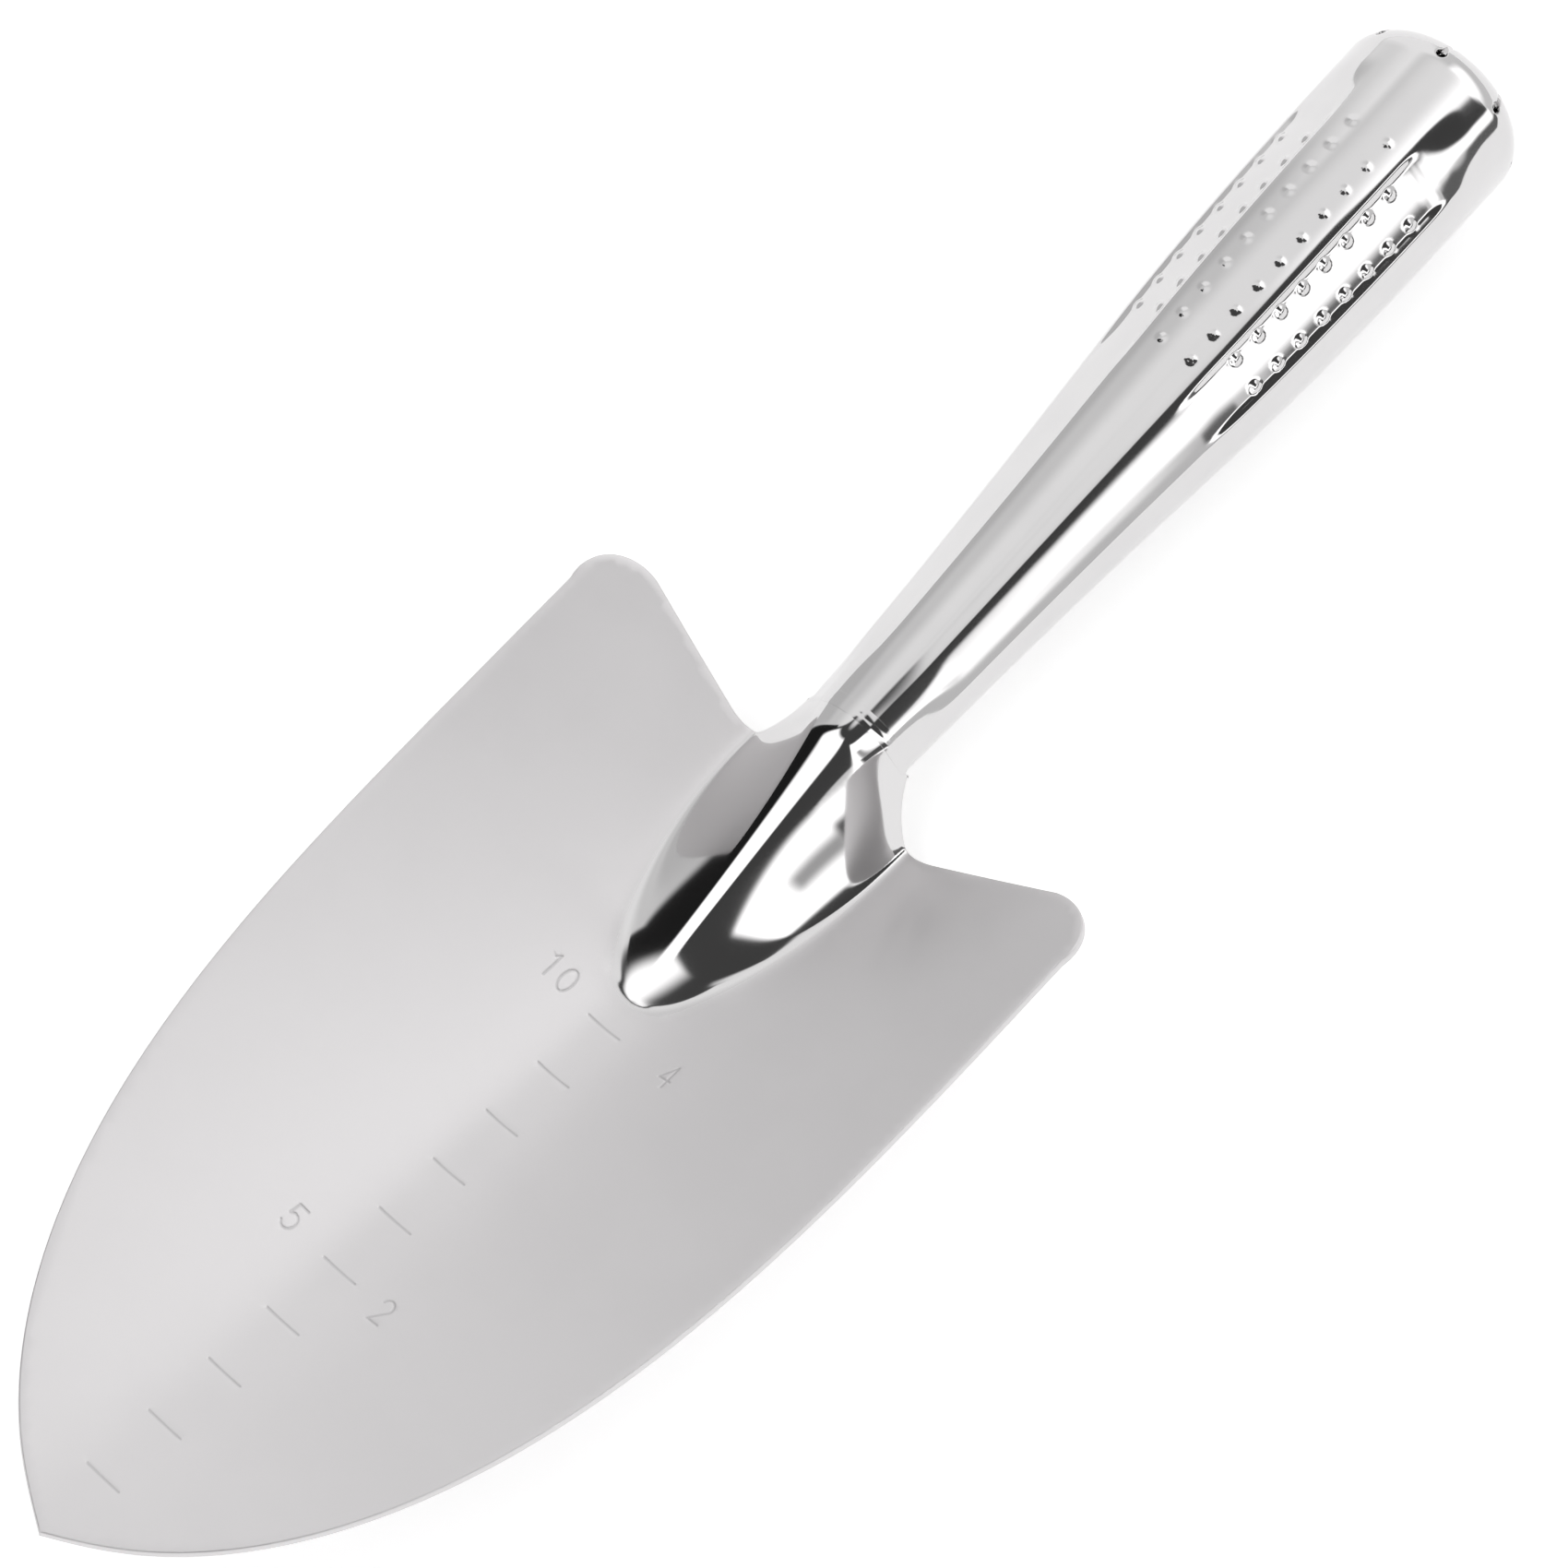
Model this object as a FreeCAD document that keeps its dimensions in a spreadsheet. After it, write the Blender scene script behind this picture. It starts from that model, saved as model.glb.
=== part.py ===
"""Hand transplanter: a dished steel blade welded to a tapered hollow steel handle.

Every piece is drawn in the blade's own frame: the origin under the tip and level with the
bottom of the dish, +Y along the blade towards the handle, +X to the right and +Z out of the
hollow side.  One placement then lays the tool down as it rests on a table, on the flat of the
backing plate and the butt of the handle.
"""
import FreeCAD
import Part
import math
import os

doc = FreeCAD.newDocument("hand_transplanter")
sheet = doc.addObject("Spreadsheet::Sheet", "dims")

DIMENSIONS = (
    # sheet metal
    ("gauge", 1.2, "thickness of the blade and tube sheet"),
    ("plate_gauge", 1.0, "thickness of the backing plate"),
    ("lap_gap", 0.05, "gap between lapped sheets"),
    # dish of the blade
    ("tip_lift", 14.36, "height of the tip over the belly"),
    ("tip_sweep", 127.9, "length over which the centre line rises to the tip"),
    ("dish_front", 0.171, "slope of the wings at the tip"),
    ("dish_rear", 0.571, "slope of the wings at the shoulders"),
    ("dish_length", 150.0, "distance between those two slopes"),
    ("dish_round", 6.47, "softness of the fold along the centre line"),
    # plan outline of the blade
    ("flank_end", 141.0, "where the straight flanks turn into the shoulders"),
    ("shoulder_mid_x", 42.0, "a point on the shoulder arc"),
    ("shoulder_mid_y", 148.4, "that point, along the blade"),
    ("shoulder_x", 36.5, "inner end of the shoulder arc"),
    ("shoulder_y", 150.3, "rear of the shoulders"),
    ("waist_x", 18.5, "inner end of the rear edge"),
    ("waist_y", 146.6, "rear edge beside the neck"),
    ("collar_x", 8.75, "half width of the collar at its end"),
    ("collar_y", 153.6, "where the collar's side edge runs out"),
    # ridge pressed into the blade
    ("ridge_start", 105.3, "front end of the ridge"),
    ("ridge_end", 145.0, "where the ridge is widest"),
    ("ridge_half", 14.0, "half width of the ridge at its foot"),
    ("ridge_bow", 0.6, "bluntness of the ridge's bow in plan"),
    ("crest_start", 0.5, "height of the crest at its front end"),
    ("crest_slope", 0.40, "first slope of the crest"),
    ("crest_curve", 0.00294, "curvature of the crest"),
    ("crest_radius", 2.5, "radius over the crest at its front end"),
    ("foot_blend", 1.2, "softness where the ridge meets the blade"),
    ("bend_blend", 0.6, "softness where the crest bends into the handle"),
    # handle axis
    ("axis_y", 154.78, "a point on the handle's axis"),
    ("axis_z", 15.28, "height of that point"),
    ("axis_rise", 10.42, "elevation of the handle over the blade, degrees"),
    # handle tube
    ("tube_start", -2.2, "front end of the tube, along the axis"),
    ("collar_end", -3.0, "rear end of the blade's collar, along the axis"),
    ("dome_start", 124.6, "where the butt begins to close"),
    ("dome_length", 6.6, "length of the rounded butt"),
    ("dome_drop", 8.4, "how far the turned-in rim drops towards the axis"),
    ("dome_turn", 82.0, "angle that the rim is turned through, degrees"),
    ("seam_width", 1.6, "width of the weld down the back of the tube"),
    ("facet_from", 25.0, "upper crease of each side facet, degrees from the top"),
    ("facet_to", 66.0, "lower crease of each side facet, degrees from the top"),
    ("facet_flat", 0.75, "flatness of the facets, 1 being a true chord"),
    ("facet_full", 12.0, "where the facets have grown to their full flatness, along the axis"),
    ("facet_end", 121.0, "where they have faded out again"),
    ("panel_from", 66.0, "front end of the sunk grip panels, along the axis"),
    ("panel_to", 110.0, "rear end of the sunk grip panels"),
    ("panel_depth", 0.5, "depth of the sunk grip panels"),
    ("panel_side", 4.5, "width of a panel's sloping side edges, degrees"),
    ("panel_front", 2.5, "length of the slope at a panel's front end"),
    ("panel_rear", 4.0, "length of the slope at a panel's rear end"),
    # grip bumps
    ("bump_first", 66.19, "first bump, along the axis"),
    ("bump_pitch", 4.83, "spacing of the bumps"),
    ("bump_radius", 1.25, "radius of a bump on the surface"),
    ("bump_height", 0.45, "height of a bump"),
    ("bump_root", 0.5, "depth of a bump below the surface it stands on"),
    # slits that let the butt turn in
    ("slit_root", 126.4, "root of each slit, along the axis"),
    ("slit_width", 1.2, "width of each slit"),
    ("relief_radius", 0.95, "radius of the round hole at each slit's root"),
    ("slit_reach", 12.0, "length of the blade that cuts a slit"),
    ("cutter_height", 20.0, "height of the tools that cut through the wall"),
    ("seam_end", 125.4, "rear end of the weld down the back of the tube"),
    ("neck_weld_reach", 86.0, "how far the neck weld goes down each side, degrees from the top"),
    # backing plate under the ridge
    ("plate_front", 108.0, "front edge of the plate"),
    ("plate_half", 19.0, "half width of the plate under the blade"),
    ("plate_waist", 10.0, "half width of the plate at the blade's rear edge"),
    ("plate_narrows", 128.0, "where the plate begins to narrow"),
    ("plate_narrow", 146.0, "where it is narrowest"),
    ("plate_nose", 7.0, "length of the plate's rounded front corners"),
    ("plate_nose_cut", 0.6, "how much of its width those corners take away, 1 being a full round"),
    ("plate_flat", 9.5, "half width of the flat that the tool rests on"),
    ("plate_flange", 13.0, "where the plate lies against the blade, either side of the flat"),
    ("plate_lifts", 140.0, "where the plate begins to rise into the tube"),
    ("plate_lifted", 153.0, "where it lies along the bore"),
    ("plate_wrap", 74.0, "how far the plate goes up each side of the bore, degrees"),
    ("plate_play", 0.15, "clearance between the plate and the bore"),
    ("plate_tail", 22.0, "how far the plate reaches into the tube"),
    ("nugget_radius", 1.8, "radius of a spot weld"),
    ("nugget_height", 1.2, "height of a spot weld through the lap"),
    ("nugget_x", 15.4, "distance of the spot welds from the centre line"),
    ("nugget_y", 115.0, "first pair of spot welds"),
    ("nugget_pitch", 8.5, "spacing of the spot welds"),
    # tools that trim the blade
    ("prism_up", 60.0, "height of the trimming prism"),
    ("prism_down", 10.0, "depth of the trimming prism"),
    ("joint_block", 44.0, "size of the block that squares the collar"),
    # how the tool lies
    ("rest_tilt", 10.3, "how far the blade's nose lifts when the tool lies down, degrees"),
    ("rest_back", 144.52, "middle of the tool's length as it lies"),
    ("rest_lift", 27.33, "height of the tip as it lies"),
)
FLANK = ((0.0, 0.0), (6.0, 9.9), (16.0, 20.3), (35.0, 31.5), (60.0, 39.0), (90.0, 42.75), (120.0, 43.9))
FLANK_REAR = 44.2
TUBE = ((-4.0, 8.24), (20.0, 9.46), (40.0, 10.79), (60.0, 12.4), (75.0, 13.6), (95.0, 14.5), (120.0, 14.88))
NECK_PULL = ((13.6, 145.7), (10.0, 148.6))  # what draws the collar's side edge into its curve
COLUMNS = ((12.1, 0, 10), (33.1, 1, 8), (58.1, 1, 8))  # degrees from the top, first bump, how many
PETALS = 8
NUGGET_ROWS = 3
SLOPE_STEP = 0.1  # how far either side a slope is measured

# fineness of the fitted surfaces
DOME_STATIONS = 10
TUBE_STATIONS, TUBE_SPOKES = 64, 97
RIDGE_COLUMNS, WING_COLUMNS = 51, 8
DISH_ROWS, RIDGE_ROWS = 21, 56
PLATE_ROWS, PLATE_COLUMNS = 46, 33

for row, (alias, value, note) in enumerate(DIMENSIONS, start=1):
    sheet.set(f"A{row}", note)
    sheet.set(f"B{row}", repr(value))
    sheet.setAlias(f"B{row}", alias)
doc.recompute()
size = {alias: float(sheet.get(alias)) for alias, _, _ in DIMENSIONS}


def dim(alias):
    return size[alias]


def bind(thing, **cells):
    """Tie a feature's sizes to cells of the sheet."""
    for path, cell in cells.items():
        thing.setExpression(path, f"dims.{cell}")


# ---------------------------------------------------------------- curves shared by the pieces


def soft_min(a, b, blend):
    return 0.5 * (a + b - math.hypot(a - b, blend))


def soft_max(a, b, blend):
    return 0.5 * (a + b + math.hypot(a - b, blend))


def step(value, low, high):
    """0 below low, 1 above high, and a smooth rise between them."""
    t = min(max((value - low) / (high - low), 0.0), 1.0)
    return t * t * (3.0 - 2.0 * t)


def through(stations, value):
    """Smooth curve through (place, size) stations, with the last slopes carried on past the ends."""
    places = [p for p, _ in stations]
    sizes = [s for _, s in stations]
    count = len(stations)
    chords = [(sizes[i + 1] - sizes[i]) / (places[i + 1] - places[i]) for i in range(count - 1)]
    i = max(sum(1 for p in places if p <= value) - 1, 0)
    i = min(i, count - 2)
    width = places[i + 1] - places[i]

    def slope(k):
        if k == 0 or k == count - 1:
            return chords[min(k, count - 2)]
        before = places[k] - places[k - 1]
        after = places[k + 1] - places[k]
        return (chords[k - 1] * after + chords[k] * before) / (before + after)

    t = (value - places[i]) / width
    if t < 0.0:
        return sizes[i] + slope(i) * width * t
    if t > 1.0:
        return sizes[i + 1] + slope(i + 1) * width * (t - 1.0)
    return (
        sizes[i] * (1 + 2 * t) * (1 - t) ** 2
        + slope(i) * width * t * (1 - t) ** 2
        + sizes[i + 1] * t * t * (3 - 2 * t)
        + slope(i + 1) * width * t * t * (t - 1)
    )


# ---------------------------------------------------------------- blade and ridge


def dish(x, y):
    """Hollow face of the blade without its ridge."""
    left = max(1.0 - y / dim("tip_sweep"), 0.0)
    wing = dim("dish_front") + (dim("dish_rear") - dim("dish_front")) * y / dim("dish_length")
    soft = dim("dish_round")
    return dim("tip_lift") * left * left + wing * (math.hypot(x, soft) - soft)


def crest(y):
    """Height of the ridge's crest, which bends into the top line of the handle."""
    run = y - dim("ridge_start")
    rising = dim("crest_start") + dim("crest_slope") * run + dim("crest_curve") * run * run
    rise = math.radians(dim("axis_rise"))
    taper = (through(TUBE, 4.0) - through(TUBE, -4.0)) / 8.0
    radius = through(TUBE, 0.0)
    top_y = dim("axis_y") - radius * math.sin(rise)
    top_z = dim("axis_z") + radius * math.cos(rise)
    level = top_z + math.tan(rise + math.atan(taper)) * (y - top_y)
    return soft_min(rising, level, dim("bend_blend"))


def ridge_half(y):
    """Half width of the ridge at its foot."""
    back = (dim("ridge_end") - y) / (dim("ridge_end") - dim("ridge_start"))
    return dim("ridge_half") * max(1.0 - min(max(back, 0.0), 1.0) ** 2, 1e-4) ** dim("ridge_bow")


def ridge_radius(y):
    """Radius over the crest, which grows into the tube's."""
    along = min(max((y - dim("ridge_start")) / (dim("axis_y") - dim("ridge_start")), 0.0), 1.0)
    return dim("crest_radius") + (through(TUBE, 0.0) - dim("crest_radius")) * along ** 1.5


def roof(x, y):
    """The ridge: an arc over the crest, with straight sides tangent to it down to the foot."""
    half = ridge_half(y)
    top = crest(y)
    height = top - dish(half, y)
    radius = min(ridge_radius(y), 0.8 * half)
    if height <= 0.05:
        return top - abs(x)
    a = half * half - radius * radius
    b = 2.0 * half * (radius - height)
    c = height * height - 2.0 * radius * height
    slope = (-b + math.sqrt(max(b * b - 4.0 * a * c, 0.0))) / (2.0 * a)
    tangent = radius * slope / math.hypot(1.0, slope)
    x = abs(x)
    if x <= tangent:
        return top - radius + math.sqrt(radius * radius - x * x)
    return top - radius + math.sqrt(radius * radius - tangent * tangent) - slope * (x - tangent)


def pressing(x, y):
    """Hollow face of the blade with its ridge."""
    if y < dim("ridge_start") - 3.0:
        return dish(x, y)
    share = step(y, dim("ridge_start") - 3.0, dim("ridge_start") + 1.0)
    blended = soft_max(dish(x, y), roof(x, y), dim("foot_blend"))
    return dish(x, y) + (blended - dish(x, y)) * share


# ---------------------------------------------------------------- handle


def fade(along):
    """1 where the facets are full, 0 at the collar and at the butt."""
    grown = step(along, dim("tube_start"), dim("facet_full"))
    return grown * (1.0 - step(along, dim("panel_to") + 0.5 * dim("panel_rear"), dim("facet_end")))


def tube_radius(along, angle, size):
    """Distance of the tube's outside from the axis; angle is in degrees from the top."""
    turn = abs(angle)
    low, high = dim("facet_from"), dim("facet_to")
    middle, spread = 0.5 * (low + high), 0.5 * (high - low)
    chord = math.cos(math.radians(spread)) / math.cos(math.radians(min(abs(turn - middle), spread)))
    flat = 1.0 - dim("facet_flat") * fade(along) * (1.0 - chord)
    rim, side = 0.5, dim("panel_side")
    edge = step(turn, low + rim, low + rim + side) * (1.0 - step(turn, high - rim - side, high - rim))
    front, rear = dim("panel_from") - 0.6 * dim("panel_front"), dim("panel_to") - 0.5 * dim("panel_rear")
    ends = step(along, front, front + dim("panel_front"))
    ends *= 1.0 - step(along, rear, rear + dim("panel_rear"))
    return size * flat - dim("panel_depth") * edge * ends


def on_axis(along, radius, angle):
    """Point at a distance from the handle's axis; angle is in degrees from the top."""
    rise = math.radians(dim("axis_rise"))
    up = radius * math.cos(math.radians(angle))
    return FreeCAD.Vector(
        radius * math.sin(math.radians(angle)),
        dim("axis_y") + along * math.cos(rise) - up * math.sin(rise),
        dim("axis_z") + along * math.sin(rise) + up * math.cos(rise),
    )


def profile():
    """Stations along the tube's length: (place, radius), straight and then rounded in at the butt."""
    start, end = dim("tube_start"), dim("dome_start")
    places = [start + (end - start) * i / TUBE_STATIONS for i in range(TUBE_STATIONS)]
    stations = [(place, through(TUBE, place)) for place in places]
    rim = through(TUBE, end)
    for i in range(DOME_STATIONS + 1):
        turn = math.radians(dim("dome_turn") * i / DOME_STATIONS)
        along = end + dim("dome_length") * math.sin(turn)
        stations.append((along, rim - dim("dome_drop") * (1.0 - math.cos(turn))))
    return stations


# ---------------------------------------------------------------- sheet-metal solids


def inward(grid, depth):
    """The same grid moved by depth along its normals, away from the side that they point to."""
    rows, columns = len(grid), len(grid[0])
    moved = []
    for i in range(rows):
        line = []
        for j in range(columns):
            along = grid[min(i + 1, rows - 1)][j] - grid[max(i - 1, 0)][j]
            across = grid[i][min(j + 1, columns - 1)] - grid[i][max(j - 1, 0)]
            normal = across.cross(along)
            normal.normalize()
            line.append(grid[i][j] - normal * depth)
        moved.append(line)
    return moved


def slab(outer, inner):
    """Solid sheet between two grids of points with the same rows and columns."""
    skins = []
    for grid in (outer, inner):
        surface = Part.BSplineSurface()
        surface.interpolate(grid)
        skins.append(surface)
    faces = [skin.toShape() for skin in skins]
    u_low, u_high, v_low, v_high = skins[0].bounds()
    for u in (u_low, u_high):
        faces.append(Part.makeRuledSurface(skins[0].uIso(u).toShape(), skins[1].uIso(u).toShape()))
    for v in (v_low, v_high):
        faces.append(Part.makeRuledSurface(skins[0].vIso(v).toShape(), skins[1].vIso(v).toShape()))
    shell = Part.Shell(faces)
    shell.sewShape()
    solid = Part.Solid(shell)
    if solid.Volume < 0.0:
        solid.reverse()
    return solid


def feature(name, shape):
    thing = doc.addObject("Part::Feature", name)
    thing.Shape = shape
    return thing


def spaced(low, high, count):
    return [low + (high - low) * i / (count - 1) for i in range(count)]


def make_blade_sheet():
    """The blade's sheet before it is trimmed: finer where the ridge is."""
    ridge, wing = dim("ridge_half") + 4.5, FLANK_REAR + 2.8
    wing_x = spaced(ridge + 1.5, wing, WING_COLUMNS)
    xs = [-x for x in reversed(wing_x)] + spaced(-ridge, ridge, RIDGE_COLUMNS) + wing_x
    front, middle, rear = -2.0, dim("ridge_start") - 5.3, dim("collar_y") + 0.9
    ys = spaced(front, middle - 2.0, DISH_ROWS) + spaced(middle, rear, RIDGE_ROWS)
    top = [[FreeCAD.Vector(x, y, pressing(x, y)) for x in xs] for y in ys]
    return feature("blade_sheet", slab(top, inward(top, dim("gauge"))))


def make_blade_outline():
    """Trim line of the blade in plan: flanks, shoulders, rear edges and collar."""

    def half(side):
        flank = [FreeCAD.Vector(side * x, y, 0.0) for y, x in FLANK]
        flank.append(FreeCAD.Vector(side * FLANK_REAR, dim("flank_end"), 0.0))
        curve = Part.BSplineCurve()
        curve.interpolate(flank)
        rear = FreeCAD.Vector(side * dim("shoulder_x"), dim("shoulder_y"), 0.0)
        corner = FreeCAD.Vector(side * dim("shoulder_mid_x"), dim("shoulder_mid_y"), 0.0)
        waist = FreeCAD.Vector(side * dim("waist_x"), dim("waist_y"), 0.0)
        collar = FreeCAD.Vector(side * dim("collar_x"), dim("collar_y"), 0.0)
        pulls = [FreeCAD.Vector(side * x, y, 0.0) for x, y in NECK_PULL]
        neck = Part.BezierCurve()
        neck.setPoles([waist, *pulls, collar])
        edges = [
            curve.toShape(),
            Part.Arc(flank[-1], corner, rear).toShape(),
            Part.LineSegment(rear, waist).toShape(),
            neck.toShape(),
        ]
        return edges, collar

    right, right_end = half(1.0)
    left, left_end = half(-1.0)
    closing = Part.LineSegment(right_end, left_end).toShape()
    wire = Part.Wire(Part.__sortEdges__(right + [closing] + left))
    return feature("blade_outline", Part.Face(wire))


def make_tube_sheet():
    """The tube, rolled from one strip whose edges leave a gap for the weld down its back."""
    grid = []
    for along, size in profile():
        half_gap = math.degrees(0.5 * dim("seam_width") / size)
        angles = spaced(half_gap - 180.0, 180.0 - half_gap, TUBE_SPOKES)
        grid.append([on_axis(along, tube_radius(along, a, size), a) for a in angles])
    wall = slab(grid, inward(grid, dim("gauge")))
    return feature("tube_sheet", wall.multiFuse(bump_domes()).Solids[0])


def make_band(name, first, last, span, rows, columns):
    """A strip of the tube's own wall, for the welds that close it; span gives its angles at a radius."""
    grid = []
    for along in spaced(first, last, rows):
        size = through(TUBE, along)
        angles = spaced(*span(size), columns)
        grid.append([on_axis(along, tube_radius(along, a, size), a) for a in angles])
    return feature(name, slab(grid, inward(grid, dim("gauge"))))


def plate_line(y):
    """One row of points across the plate's upper face."""
    rise = math.radians(dim("axis_rise"))
    clear = dim("gauge") + dim("lap_gap")
    along = (y - dim("axis_y")) / math.cos(rise)
    bore = through(TUBE, max(along, 0.0)) - clear - dim("plate_play")
    axis = dim("axis_z") + (y - dim("axis_y")) * math.tan(rise)
    narrow = step(y, dim("plate_narrows"), dim("plate_narrow"))
    half = dim("plate_half") + (dim("plate_waist") - dim("plate_half")) * narrow
    nose = min((y - dim("plate_front")) / dim("plate_nose"), 1.0)
    half *= math.sqrt(1.0 - (1.0 - nose) ** 2 * dim("plate_nose_cut"))
    share = step(y, dim("plate_lifts"), dim("plate_lifted"))
    line = []
    for turn in spaced(-1.0, 1.0, PLATE_COLUMNS):
        x = turn * half
        flat = 1.0 - step(abs(x), dim("plate_flat"), dim("plate_flange"))
        z = dish(x, y) + (dish(0.0, y) - dish(x, y)) * flat - clear
        arc = math.radians(180.0 - dim("plate_wrap") * turn)
        in_bore = FreeCAD.Vector(bore * math.sin(arc), y, axis + bore * math.cos(arc))
        under_blade = FreeCAD.Vector(x, y, z)
        line.append(under_blade + (in_bore - under_blade) * share)
    return line


def make_plate_sheet():
    """Plate that closes the hollow under the ridge and keys into the lower half of the tube."""
    tail = dim("axis_y") + dim("plate_tail") * math.cos(math.radians(dim("axis_rise")))
    grid = [plate_line(y) for y in spaced(dim("plate_front"), tail, PLATE_ROWS)]
    return feature("plate_sheet", slab(grid, inward(grid, dim("plate_gauge"))))


def bump_domes():
    """Pressed bumps: two columns on the top of the grip and two in each sunk panel."""
    height, radius, root = dim("bump_height"), dim("bump_radius"), dim("bump_root")
    ball = 0.5 * (radius * radius + height * height) / height
    foot = math.degrees(math.asin((ball - height - root) / ball))
    domes = []
    for column, first, count in COLUMNS:
        for angle in (-column, column):
            for i in range(first, first + count):
                along = dim("bump_first") + i * dim("bump_pitch")
                wall = tube_radius(along, angle, through(TUBE, along))
                seat = on_axis(along, wall + height - ball, angle)
                outward = on_axis(along, wall + height, angle) - seat
                domes.append(Part.makeSphere(ball, seat, outward, foot, 90.0, 360.0))
    return domes


def axis_rotation(angle):
    """Turns +Y onto the handle's axis and +Z to the given angle from the top."""
    lean = FreeCAD.Rotation(FreeCAD.Vector(1, 0, 0), dim("axis_rise"))
    return lean.multiply(FreeCAD.Rotation(FreeCAD.Vector(0, 1, 0), angle))


def make_slits():
    """Slits along the rim of the butt, each with a round hole at its root."""
    cutters = []
    root = on_axis(dim("slit_root"), 0.0, 0.0)
    for i in range(PETALS):
        angle = 360.0 / PETALS * i
        if angle == 180.0:
            continue  # the open end of the seam is the slit at the back
        turn = axis_rotation(angle)
        slit = doc.addObject("Part::Box", f"slit_{i}")
        bind(slit, Length="slit_width", Width="slit_reach", Height="cutter_height")
        edge = turn.multVec(FreeCAD.Vector(-0.5 * dim("slit_width"), 0.0, 0.0))
        slit.Placement = FreeCAD.Placement(root + edge, turn)
        relief = doc.addObject("Part::Cylinder", f"relief_{i}")
        bind(relief, Radius="relief_radius", Height="cutter_height")
        relief.Placement = FreeCAD.Placement(root, turn)
        cutters += [slit, relief]
    return gather("Part::MultiFuse", "slit_cutters", cutters)


def gather(kind, name, things):
    group = doc.addObject(kind, name)
    if kind == "Part::Compound":
        group.Links = things
    else:
        group.Shapes = things
    return group


def combine(kind, name, base, tool):
    thing = doc.addObject(kind, name)
    thing.Base = base
    thing.Tool = tool
    return thing


def make_nuggets():
    """Spot welds of the backing plate, either side of the ridge and square to the dish."""
    nuggets = []
    for i in range(NUGGET_ROWS):
        y = dim("nugget_y") + i * dim("nugget_pitch")
        for side in (-1.0, 1.0):
            x = side * dim("nugget_x")
            rise = (dish(x + SLOPE_STEP, y) - dish(x - SLOPE_STEP, y)) / (2.0 * SLOPE_STEP)
            square = FreeCAD.Rotation(FreeCAD.Vector(0, 1, 0), -math.degrees(math.atan(rise)))
            depth = dim("gauge") + 0.5 * dim("lap_gap") + 0.5 * dim("nugget_height")
            foot = FreeCAD.Vector(x, y, dish(x, y)) - square.multVec(FreeCAD.Vector(0, 0, depth))
            nugget = doc.addObject("Part::Cylinder", f"nugget_{len(nuggets)}")
            bind(nugget, Radius="nugget_radius", Height="nugget_height")
            nugget.Placement = FreeCAD.Placement(foot, square)
            nuggets.append(nugget)
    return nuggets


def make_joint_cutter():
    """Block that trims the blade's collar square to the handle's axis."""
    block = doc.addObject("Part::Box", "joint_cutter")
    bind(block, Length="joint_block", Width="joint_block", Height="joint_block")
    turn = axis_rotation(0.0)
    half = 0.5 * dim("joint_block")
    corner = turn.multVec(FreeCAD.Vector(-half, 0.0, -half))
    block.Placement = FreeCAD.Placement(on_axis(dim("collar_end"), 0.0, 0.0) + corner, turn)
    return block


# ---------------------------------------------------------------- the pieces

nuggets = make_nuggets()
nugget_pockets = gather("Part::MultiFuse", "nugget_pockets", nuggets)

outline = make_blade_outline()
prism = doc.addObject("Part::Extrusion", "blade_prism")
prism.Base = outline
prism.DirMode = "Custom"
prism.Dir = FreeCAD.Vector(0, 0, 1)
prism.Solid = True
bind(prism, LengthFwd="prism_up", LengthRev="prism_down")
trimmed = combine("Part::Common", "trimmed_blade", make_blade_sheet(), prism)
collared = combine("Part::Cut", "collared_blade", trimmed, make_joint_cutter())
blade = combine("Part::Cut", "blade_pressing", collared, nugget_pockets)

handle = combine("Part::Cut", "handle_tube", make_tube_sheet(), make_slits())

plate = combine("Part::Cut", "ridge_backing_plate", make_plate_sheet(), nugget_pockets)
spot_welds = gather("Part::Compound", "backing_plate_spot_welds", nuggets)


def down_the_back(radius):
    half_gap = math.degrees(0.5 * dim("seam_width") / radius)
    return 180.0 - half_gap, 180.0 + half_gap


def round_the_neck(_):
    return -dim("neck_weld_reach"), dim("neck_weld_reach")


seam = make_band("tube_seam_weld", dim("tube_start"), dim("seam_end"), down_the_back, 40, 3)
neck = make_band("neck_weld", dim("collar_end"), dim("tube_start"), round_the_neck, 3, 33)

# ---------------------------------------------------------------- lay the tool down and write it

doc.recompute()
lie = FreeCAD.Placement(
    FreeCAD.Vector(0.0, -dim("rest_back"), dim("rest_lift")),
    FreeCAD.Rotation(FreeCAD.Vector(1, 0, 0), -dim("rest_tilt")),
)
pieces = (blade, handle, neck, seam, plate, spot_welds)
for piece in pieces:
    piece.Label = piece.Name
    piece.Placement = lie
doc.recompute()

for thing in doc.Objects:
    if "Invalid" in thing.State or "Error" in thing.State:
        raise RuntimeError(f"{thing.Name} failed: {thing.State}")

os.makedirs("parts", exist_ok=True)
for piece in pieces:
    shape = piece.Shape
    if shape.isNull() or not shape.isValid():
        raise RuntimeError(f"{piece.Label} has no valid shape")
    box = shape.optimalBoundingBox(False, False)
    print(
        f"{piece.Label}: {len(shape.Solids)} solid(s), {shape.Volume:.0f} mm3,"
        f" x {box.XMin:.2f}..{box.XMax:.2f},"
        f" y {box.YMin:.2f}..{box.YMax:.2f}, z {box.ZMin:.2f}..{box.ZMax:.2f}"
    )
    shape.exportStep(f"parts/{piece.Label}.step")
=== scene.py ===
"""Hand transplanter: the visual model, its studio and its camera."""

import math

import bmesh
import bpy
import numpy as np
from mathutils import Matrix, Vector
from mathutils.geometry import delaunay_2d_cdt


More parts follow.
